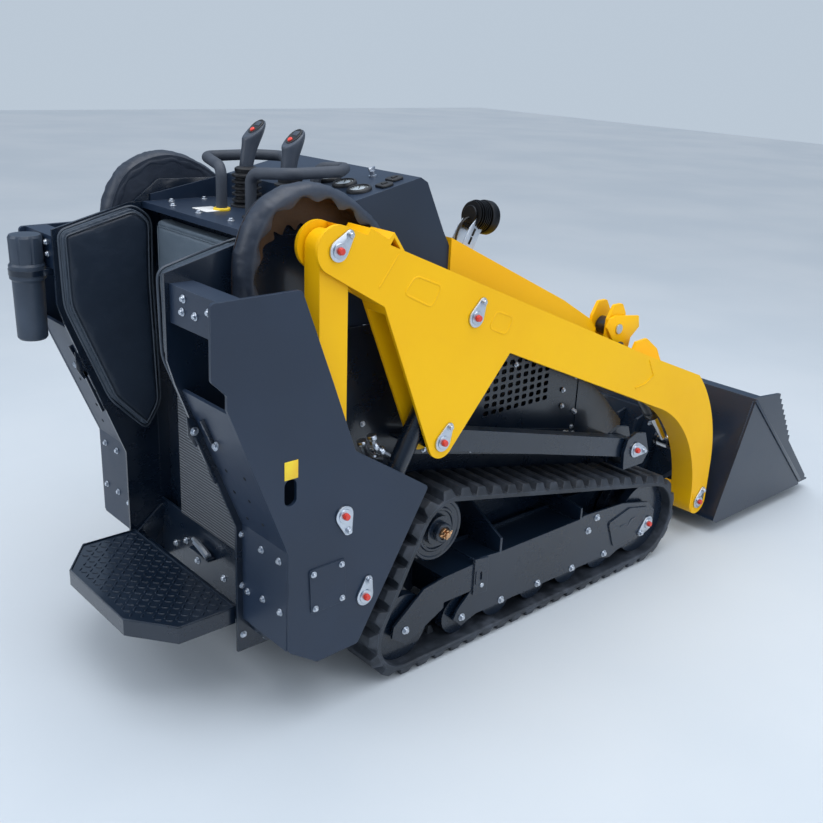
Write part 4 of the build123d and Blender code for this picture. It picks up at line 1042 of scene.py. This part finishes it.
bezel = lathe(gauge["bezel"], 40)
dial = lathe(gauge["dial"], 40)
ticks = [placed(block((16, -0.7, 6), (22, 0.7, 7.4), 0.2, 1),
                Matrix.Rotation(radians(gauge["firstTick"] + gauge["tickStep"] * step), 4, "Z"))
         for step in range(gauge["ticks"])]
needle = placed(block((-4, -1, 6.6), (18, 1, 8), 0.3, 1), Matrix.Rotation(radians(gauge["needle"]), 4, "Z"))
marks = join(needle, *ticks)
places = [onDash(x, y) for x, y in dash["gauges"]]
for master, name, finish in ((bezel, "gaugeBezels", blackPlastic), (dial, "gaugeDials", gaugeGlass),
                             (marks, "gaugeMarks", darkHole)):
    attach(dress(copies(master, places), name, finish, 40), "chassis")
size = keySwitch
switch = plate([(x * mm, y * mm) for x, y in size["outline"]], size["thick"] * mm, size["bevel"] * mm)
modify(switch, "TRIANGULATE")
bar = block(*size["bar"], 1)
places = [onDash(x, y) for x, y in dash["switches"]]
for master, name in ((switch, "keySwitches"), (bar, "keySwitchBars")):
    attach(dress(copies(master, places), name, blackPlastic), "chassis")
drop(bezel, dial, marks, switch, bar)
blank = block(deckPlate["low"], deckPlate["high"], deckPlate["bevel"])
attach(dress(blank, "deckBlankPlate", whitePlate), "chassis")
for sideName, side in sides:
    place = Matrix.Translation((handleFoot["x"] * mm, side * handleFoot["y"] * mm, handleFoot["z"] * mm))
    foot = placed(lathe(handleFoot["profile"], 36), place)
    finish = yellowLabel if side > 0 else blackPlastic
    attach(dress(foot, f"handleFoot{sideName}", finish), "chassis")
sidePlates("deckSideWall", [deckSideWall.values()], blackPaint, "chassis")
key = join(turned(11, 4), turned(8, 12, 20, low=4), block((-2, -11, 14), (2, 11, 26), 0.8))
key = outward(placed(key, onDash(*dash["key"])))
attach(dress(key, "ignitionKey", boltSteel), "chassis")
print("dash done")

# work lamp: finned round head, lens, steel bracket with slotted sides, wire
lamp = {"rear": (-280, 1234), "front": (-192, 1216), "y": -150, "fins": 6, "finStep": 7.5, "radius": 47, "core": 34,
        "back": ((0, 0), (26, 0), (28, 2), (28, 8)),
        "rim": ((50, 54), (52, 58), (52, 80), (49, 86), (45, 86), (44, 80), (0, 80)),
        "lens": ((0, 78), (44.5, 78), (44.5, 83), (30, 86.5), (0, 88)),
        "wire": ((-276, -150, 1226), (-300, -150, 1218), (-318, -146, 1190), (-322, -140, 1150),
                 (-316, -138, 1122))}
lampBracket = {"arm": ((-336, 1136), (-290, 1114), (-262, 1170), (-226, 1218), (-238, 1240), (-262, 1236),
                       (-300, 1200)), "inner": (123, 174), "thick": 3, "base": ((-42, -30, 0), (42, 30, 4)),
               "basePlace": (-306, -150, 1116.5), "baseNormal": (0.43, 0, 0.9), "slot": ((-4, -12, 0), (4, 12, 1)),
               "slots": ((-296, 1160), (-283, 1184)), "slotOut": 27.2}
run = (lamp["front"][0] - lamp["rear"][0], 0, lamp["front"][1] - lamp["rear"][1])
place = facing(lamp["rear"][0], lamp["y"], lamp["rear"][1], run)
profile = list(lamp["back"])
for fin in range(lamp["fins"]):
    low = 8 + fin * lamp["finStep"]
    wide = lamp["radius"] - 3 * max(0, 2 - fin)  # the two rear fins are smaller
    profile += [(wide, low), (wide, low + 3), (lamp["core"], low + 3.4), (lamp["core"], low + 7)]
profile += lamp["rim"]
head = placed(lathe(profile, 48), place)
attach(dress(head, "workLampHead", lampMetal), "chassis")
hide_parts("work_lamp")
lens = placed(lathe(lamp["lens"], 48), place)
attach(dress(lens, "workLampLens", lampLens), "chassis")
size = lampBracket
arms = [sheet(-1, size["arm"], inner, inner + size["thick"], 0.6) for inner in size["inner"]]
base = placed(block(*size["base"], 1), facing(*size["basePlace"], size["baseNormal"]))
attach(dress(join(base, *arms), "workLampBracket", boltSteel), "chassis")
# the slots are not cut through: thin near-black blocks on the plates are painted shade
holes = []
for side in (-1, 1):
    across = Matrix.Translation((0, (lamp["y"] + side * size["slotOut"]) * mm, 0))
    for x, z in size["slots"]:
        holes.append(placed(block(*size["slot"], 0.4), onSide(side, x, z, 0, radians(-30)), across))
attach(dress(join(*holes), "workLampBracketSlots", darkHole), "chassis")
wire = pipe(scaled(lamp["wire"]), 3.5 * mm, 10)
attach(dress(wire, "workLampWire", hoseRubber, 60), "chassis")
print("lamp done")

# canister: body with its shoulder, ribbed cap, strap with a tab
canister = {"place": (-1418, 400, 888), "capSides": 64, "ribs": 8, "ribDepth": 0.95,
            "body": ((0, 0), (36, 0), (41, 6), (43, 165), (45, 168), (49, 172), (49, 208), (45, 214), (0, 214)),
            "cap": ((0, 214), (44, 214), (45, 284), (41, 291), (30, 292), (0, 292)),
            "strap": ((49.2, 182), (50.4, 182), (50.4, 198), (49.2, 198)),
            "tab": ((-1392, 352, 1070), (-1330, 364, 1088))}
body = lathe(canister["body"], 48)
cap = lathe(canister["cap"], canister["capSides"])
for vertex in cap.data.vertices:
    turn = atan2(vertex.co.y, vertex.co.x) / (2 * pi) * canister["capSides"]
    if hypot(vertex.co.x, vertex.co.y) > 43 * mm and round(turn) % canister["ribs"] == 0:
        vertex.co.x *= canister["ribDepth"]
        vertex.co.y *= canister["ribDepth"]
place = Matrix.Translation(Vector(canister["place"]) * mm)
whole = placed(join(body, cap), place)
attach(dress(whole, "canisterBody", canisterPlastic, 30), "chassis")
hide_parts("canister")
strap = placed(lathe(canister["strap"], 48), place)
tab = block(*canister["tab"], 1)
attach(dress(join(strap, tab), "canisterStrap", blackPaint), "chassis")
print("canister done")

# lift arms: pressed rectangles and a pressed line, and the hooked stops beside the tilt cylinders' ears
armPressing = {"out": 485, "sunk": 2.4, "ridge": 4.2, "corner": 16, "line": ((-847, 1226), (-905, 1150)),
               "frames": (((-787, 1167), (-696, 1131), (-727, 1078), (-824, 1126)),
                          ((-485, 1036), (-415, 1009), (-440, 962), (-510, 992)))}
tiltStop = {"outline": ((194, 857), (210, 886), (234, 893), (364, 876), (372, 836), (330, 804), (322, 762),
                        (253, 783)), "inner": 342.3, "outer": 351, "pin": (256, 845), "pinRadius": 17,
            "pinOut": 6, "pinBevel": 1.2}
size = armPressing
for sideName, side in sides:
    level = side * (size["out"] - size["sunk"]) * mm
    start, end = scaled(size["line"])
    loops = [(rounded(scaled(spots), size["corner"] * mm, 4), True) for spots in size["frames"]]
    loops.append(([start.lerp(end, step / 6) for step in range(7)], False))
    ridges = [pipe([Vector((spot.x, level, spot.y)) for spot in spots], size["ridge"] * mm, 12, closed, False)
              for spots, closed in loops]
    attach(dress(join(*ridges), f"armPressings{sideName}", yellowPaint, 60), "arms")
size = tiltStop
for sideName, side in sides:
    stop = sheet(side, size["outline"], size["inner"], size["outer"], 1)
    pinEnd = turned(size["pinRadius"], size["pinOut"], 28, bevel=size["pinBevel"])
    placed(pinEnd, onSide(side, *size["pin"], size["outer"]))
    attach(dress(stop, f"tiltStop{sideName}", yellowPaint), "arms")
    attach(dress(pinEnd, f"tiltPinEnd{sideName}", boltSteel), "arms")
print("arm pressings done")

# weld beads along the seams of the arms, the bucket and the track frames
bead = {"radius": 3, "pitch": 6, "ripple": 0.28, "rate": 1.1}
welds = {
    "arms": (yellowPaint, "yellow_paint", (((262, 485, 770), (295, 485, 711), (253, 485, 690), (200, 485, 685)),
                                           ((205, 268, 742), (270, 268, 742)), ((205, 332, 742), (270, 332, 742)),
                                           ((655, 485, 180), (655, 485, 110)))),
    "bucket_group": (bucketPaint, "black_paint", (((765, 515, 62), (925, 515, 503)),
                                                  ((800, 515, 53), (1380, 515, 53)))),
    "chassis": (blackPaint, "black_paint", (((-505, 345, 283), (-505, 486, 283)),
                                            ((-390, 486, 266), (-390, 486, 308)),
                                            ((-12, 486, 280), (-12, 486, 306)),
                                            ((205, 404, 404), (300, 404, 404)))),
}


def weld(points):
    line = scaled(points)
    spots = []
    for start, end in zip(line, line[1:]):
        count = max(2, int((end - start).length / (bead["pitch"] * mm) * 2))
        spots += [start.lerp(end, step / count) for step in range(count)]
    spots.append(line[-1])
    made = pipe(spots, bead["radius"] * mm, 8, False, False)
    for vertex in made.data.vertices:
        spot = min(spots, key=lambda point: (point - vertex.co).length_squared)
        swelling = 1 + bead["ripple"] * sin((spot.x + spot.y + spot.z) / mm * bead["rate"])
        vertex.co = spot + (vertex.co - spot) * swelling
    return made


for body, (finish, slot, lines) in welds.items():
    name = body.replace("_", "")
    for sideName, side in sides:
        beads = [weld([(x, side * y, z) for x, y, z in line]) for line in lines]
        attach(dress(join(*beads), f"{name}Welds{sideName}", finish, 60), body)
print("welds done")

# steel elbows and their nuts at the lift barrels: x, how far inwards, z and for the nuts the way they face
liftFitting = {"y": 430, "radius": 9, "nutRadius": 14.5, "nutHeight": 14, "nutBevel": 1.5,
               "elbows": (((-806, 0, 668), (-838, 0, 690), (-858, 0, 708), (-866, 0, 735)),
                          ((-812, 24, 652), (-846, 24, 668), (-868, 24, 690), (-880, 24, 716))),
               "nuts": (((-828, 0, 684), (-0.8, 0, 0.6)), ((-865, 0, 728), (-0.2, 0, 1)),
                        ((-836, 24, 664), (-0.8, 0, 0.6)), ((-878, 24, 708), (-0.3, 0, 1)),
                        ((-852, 0, 700), (-0.6, 0, 0.7)))}
size = liftFitting
for sideName, side in sides:
    pieces = [pipe(scaled((x, side * (size["y"] - y), z) for x, y, z in route), size["radius"] * mm, 14)
              for route in size["elbows"]]
    for (x, y, z), normal in size["nuts"]:
        nut = turned(size["nutRadius"], size["nutHeight"], 6, bevel=size["nutBevel"])
        pieces.append(placed(nut, facing(x, side * (size["y"] - y), z, normal)))
    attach(dress(join(*pieces), f"liftFittings{sideName}", boltSteel), "lift_barrels")
print("fittings done")

# blank labels on the shields, brackets on the wall flanges, and near-black discs on the flanges as painted shade of
# holes
shieldLabel = {"outline": ((-1203, 775), (-1164, 775), (-1164, 728), (-1203, 728)), "inner": 518.1, "outer": 519,
               "bevel": 0.3}
wallHook = {  # outline, inner and outer face
    "hook": (((-1340, 856), (-1304, 830), (-1296, 794), (-1318, 772), (-1338, 806)), 308.2, 313),
    "brace": (((-1334, 858), (-1300, 872), (-1286, 826), (-1304, 790)), 360, 366),
    "rib": (((-1322, 800), (-1314, 800), (-1262, 668), (-1270, 664)), 308.2, 316),
}
holeShadeDisc = {"profile": ((0, 0), (5, 0), (5, 0.8), (4, 1.2), (0, 1.2)), "low": (-1190, 530), "run": (-158, 392),
            "spots": ((360, 0.47), (420, 0.3), (352, 0.3), (440, 0.14), (360, 0.1), (450, 0.5))}
for sideName, side in sides:
    label = sheet(side, *shieldLabel.values())
    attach(dress(label, f"shieldBlankLabel{sideName}", yellowLabel), "chassis")
    parts = [sheet(side, *part) for part in wallHook.values()]
    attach(dress(join(*parts), f"wallHook{sideName}", blackPaint), "chassis")
# near-black discs that stand for holes: painted shade
holeShades = []
(lowX, lowZ), (runX, runZ) = holeShadeDisc["low"], holeShadeDisc["run"]
for sideName, side in sides:
    for across, share in holeShadeDisc["spots"]:
        place = facing(lowX + runX * share, side * across, lowZ + runZ * share, (-runZ, 0, runX))
        holeShades.append(placed(lathe(holeShadeDisc["profile"], 16), place))
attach(dress(join(*holeShades), "flangeHoleShades", darkHole), "chassis")

# rear bulkhead: bolts, the platform's latch on its shelf, and the plates of the platform's hinge
rearBolts = {"head": 9, "wall": (-1322, 815, 313), "flange": (-1306, 385, 796), "face": -1100.2,
             "spots": ((213, 228), (83, 223), (-65, 229), (-200, 226), (150, 262))}
latch = {"bar": ((-1118, 62, 300), (-1120, 20, 292), (-1122, -14, 284)), "barRadius": 11,
         "tip": ((-1118, 78, 304), (-1118, 62, 300)), "tipRadius": 6,
         "shelf": ((-1126, -20, 268), (-1100.2, 88, 276))}
hingePlate = {"outline": ((-1190, 205), (-1140, 200), (-1076, 300), (-1080, 338), (-1108, 330), (-1196, 256)),
              "inner": 289, "outer": 298, "bevel": 1}
places = [onSide(side, *rearBolts["wall"], 0.3) for sideName, side in sides]
flangeX, flangeY, flangeZ = rearBolts["flange"]
places += [facing(flangeX, side * flangeY, flangeZ, (-0.9, 0, 0.3)) for sideName, side in sides]
places += [facing(rearBolts["face"], y, z, (-1, 0, 0)) for y, z in rearBolts["spots"]]
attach(boltsAt(rearBolts["head"], places, "rearBracketBolts"), "chassis")
handle = join(pipe(scaled(latch["bar"]), latch["barRadius"] * mm, 14),
              pipe(scaled(latch["tip"]), latch["tipRadius"] * mm, 12))
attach(dress(handle, "platformLatch", boltSteel), "chassis")
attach(dress(block(*latch["shelf"], 1), "platformLatchShelf", blackPaint), "chassis")
sidePlates("platformHingePlate", [hingePlate.values()], blackPaint, "chassis")
print("rear brackets done")

# coupler: ribs and a latch lever
couplerRib = {"outline": ((751, 84), (748, 84), (742, 120), (800, 330), (849, 340)), "half": 5,
              "across": (-190, -95, 0, 95, 190)}
couplerLever = {"route": ((812, -246, 262), (776, -246, 330), (760, -244, 352), (748, -226, 356),
                          (748, -196, 356), (754, -188, 346)), "radius": 7}
ribs = [sheet(1, couplerRib["outline"], y - couplerRib["half"], y + couplerRib["half"]) for y in couplerRib["across"]]
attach(dress(join(*ribs), "couplerRibs", blackPaint), "bucket_group")
lever = pipe(scaled(couplerLever["route"]), couplerLever["radius"] * mm, 12)
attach(dress(lever, "couplerLever", boltSteel), "bucket_group")

# hoses inside the arms, two a side, the second further in and lower
armHose = {"route": ((-640, 388, 1118), (-300, 386, 985), (60, 386, 846), (200, 380, 800), (262, 366, 790),
                     (250, 350, 752)), "radius": 8.5, "second": (0, -20, -6), "clamps": ((-500, 1061), (-120, 913)),
           "clampY": 385}
for sideName, side in sides:
    hoses = []
    for shift in ((0, 0, 0), armHose["second"]):
        spots = [Vector(spot) + Vector(shift) for spot in armHose["route"]]
        hoses.append(pipe(scaled((x, side * y, z) for x, y, z in spots), armHose["radius"] * mm, 12))
    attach(dress(join(*hoses), f"armHoses{sideName}", hoseRubber, 60), "arms")
    place = Matrix.Translation((0, side * armHose["clampY"] * mm, 0)) @ Matrix.Diagonal((1, side, 1, 1))
    clamps = [placed(block((x - 12, -30, z - 16), (x + 12, 9, z + 12), 2), place) for x, z in armHose["clamps"]]
    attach(dress(outward(join(*clamps)), f"armHoseClamps{sideName}", blackPlastic), "arms")
print("coupler and hoses done")

# raised arrow on the idler cover with the lip behind it, and the collars of the cylinders
frameMarks = {
    "arrow": (((205, 186), (232, 186), (248, 176), (262, 196), (292, 196), (292, 190), (266, 190), (250, 168),
               (230, 180), (205, 180)), 493, 494.2, 0.3),
    "lip": (((-497, 240), (-492, 240), (-492, 198), (-497, 198)), 493, 495, 0.4),
}
cylinders = {
    "lift": {"base": (-948, 332), "eye": (-565, 1029), "y": 440, "length": 690, "radius": 28, "body": "lift_barrels"},
    "tilt": {"base": (256, 845), "eye": (711, 324), "y": 300, "length": 520, "radius": 28, "body": "tilt_barrels"},
}
sidePlates("frameMarks", frameMarks.values(), blackPaint, "chassis")
for sideName, side in sides:
    for name, size in cylinders.items():
        base, radius = Vector(size["base"]), size["radius"]
        run = (Vector(size["eye"]) - base).normalized()
        rings = []
        for reach, wide, depth in ((size["length"] - 34, radius + 2.5, 34), (80, radius + 2, 14)):
            spot = base + run * reach
            ring = lathe(((radius - 6, 0), (wide, 0), (wide, depth - 3), (wide - 2, depth), (radius - 6, depth)))
            rings.append(placed(ring, facing(spot.x, side * size["y"], spot.y, (run.x, 0, run.y))))
        collars = dress(join(*rings), f"{name}BarrelRings{sideName}", blackPaint)
        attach(collars, size["body"])

# rolled rim round the platform and the rib along the bucket's side
platformRim = {"route": ((-1202, 282), (-1368, 282), (-1459, 161), (-1459, -161), (-1368, -282), (-1202, -282)),
               "z": 274, "radius": 3.2}
bucketSideRib = {"outline": ((917, 508), (933, 511), (1404, 66), (1392, 56)), "inner": 524.8, "outer": 530,
                 "bevel": 1}
route = scaled((x, y, platformRim["z"]) for x, y in platformRim["route"])
rim = pipe(route, platformRim["radius"] * mm, 10, True, False)
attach(dress(rim, "platformRim", blackPaint, 60), "platform_body")
sidePlates("bucketSideRib", [bucketSideRib.values()], bucketPaint, "bucket_group")
print("marks and rings done")

# camera: where the photograph was taken from
shot = {"place": (-2.4476, -2.3231, 1.7088), "yaw": 0.834, "pitch": 0.349, "roll": 0.048, "focal": 1009.8,
        "pixels": 823, "sensor": 36}
yaw, pitch, roll = shot["yaw"], shot["pitch"], shot["roll"]
ahead = Vector((cos(yaw) * cos(pitch), sin(yaw) * cos(pitch), -sin(pitch)))
level = ahead.cross(Vector((0, 0, 1))).normalized()
upwards = level.cross(ahead)
acrossView = level * cos(roll) + upwards * sin(roll)
upView = upwards * cos(roll) - level * sin(roll)
camera = bpy.data.objects.new("camera", bpy.data.cameras.new("camera"))
bpy.context.scene.collection.objects.link(camera)
view = Matrix((acrossView, upView, -ahead)).transposed().to_4x4()
camera.matrix_world = Matrix.Translation(shot["place"]) @ view
camera.data.sensor_width = shot["sensor"]
camera.data.lens = shot["sensor"] * shot["focal"] / shot["pixels"]
camera.data.clip_end = 60
bpy.context.scene.camera = camera

# floor: pale concrete with broad patches
deselect()
bpy.ops.mesh.primitive_plane_add(size=40, location=(0, 0, 0))
floor = bpy.context.object
floor.name = "floor"
concrete = Finish("floorFinish")
patches = concrete.grain(0.6, 5).smooth(0.3, 0.7)
concrete.set(Base_Color=concrete.mix(patches, colour(0.56, 0.62, 0.68), colour(0.62, 0.67, 0.72)), Roughness=0.85)
floor.data.materials.append(concrete.material)
floor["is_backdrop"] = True

# world: one even light, a dome that paint and metal mirror, and a plain backdrop for the camera
backdrops = {"plain": ((0.86, 0.92, 1.0), 0.82), "mirrored": ((0.5, 0.5, 0.5), 0.8),
             "seen": ((0.50, 0.58, 0.67), 1.0)}
domeStops = ((0.0, (0.10, 0.14, 0.20)), (0.25, (0.20, 0.28, 0.40)), (0.55, (0.52, 0.66, 0.85)),
             (1.0, (0.92, 0.97, 1.0)))
world = bpy.data.worlds.new("sky")
bpy.context.scene.world = world
world.use_nodes = True
tree = world.node_tree
shades = {"plain": tree.nodes["Background"], "mirrored": tree.nodes.new("ShaderNodeBackground"),
          "seen": tree.nodes.new("ShaderNodeBackground")}
for name, (tint, strength) in backdrops.items():
    shades[name].inputs["Color"].default_value = (*tint, 1)
    shades[name].inputs["Strength"].default_value = strength
direction = tree.nodes.new("ShaderNodeNewGeometry")
heights = tree.nodes.new("ShaderNodeSeparateXYZ")
climb = tree.nodes.new("ShaderNodeMath")
climb.operation = "MULTIPLY"
climb.inputs[1].default_value = -1.0
dome = tree.nodes.new("ShaderNodeValToRGB")
for spot, tint in domeStops[1:-1]:
    dome.color_ramp.elements.new(spot)
for element, (spot, tint) in zip(dome.color_ramp.elements, domeStops):
    element.position = spot
    element.color = (*tint, 1)
tree.links.new(direction.outputs["Incoming"], heights.inputs[0])
tree.links.new(heights.outputs[2], climb.inputs[0])
tree.links.new(climb.outputs[0], dome.inputs[0])
tree.links.new(dome.outputs[0], shades["mirrored"].inputs["Color"])
rays = tree.nodes.new("ShaderNodeLightPath")
reflected = tree.nodes.new("ShaderNodeMixShader")
visible = tree.nodes.new("ShaderNodeMixShader")
for shader, ray, first, second in ((reflected, "Is Glossy Ray", shades["plain"], shades["mirrored"]),
                                   (visible, "Is Camera Ray", reflected, shades["seen"])):
    tree.links.new(rays.outputs[ray], shader.inputs[0])
    tree.links.new(first.outputs[0], shader.inputs[1])
    tree.links.new(second.outputs[0], shader.inputs[2])
tree.links.new(visible.outputs[0], tree.nodes["World Output"].inputs["Surface"])

# soft lamps above, behind and beside
lamps = {
    "topSoft": {"place": (-0.6, -0.8, 4.6), "aim": (0, 0, 0.4), "size": 4.2, "power": 130,
                "tint": (0.97, 0.98, 1.0)},
    "rearSoft": {"place": (-4.2, 1.4, 2.8), "aim": (-0.6, 0, 0.7), "size": 2.4, "power": 38,
                 "tint": (0.93, 0.96, 1.0)},
    "sideSoft": {"place": (0.6, -4.6, 2.2), "aim": (0, 0, 0.6), "size": 2.6, "power": 34,
                 "tint": (0.93, 0.96, 1.0)},
}
for name, value in lamps.items():
    light = bpy.data.lights.new(name, "AREA")
    light.size = value["size"]
    light.energy = value["power"]
    light.color = value["tint"]
    lampObject = bpy.data.objects.new(name, light)
    bpy.context.scene.collection.objects.link(lampObject)
    lampObject.location = value["place"]
    lampObject.rotation_mode = "QUATERNION"
    lampObject.rotation_quaternion = (Vector(value["aim"]) - Vector(value["place"])).to_track_quat("-Z", "Y")
bpy.context.scene.view_settings.view_transform = "Standard"
deselect()
low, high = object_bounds()
print("visual box", [round(value, 3) for value in (*low, *high)])
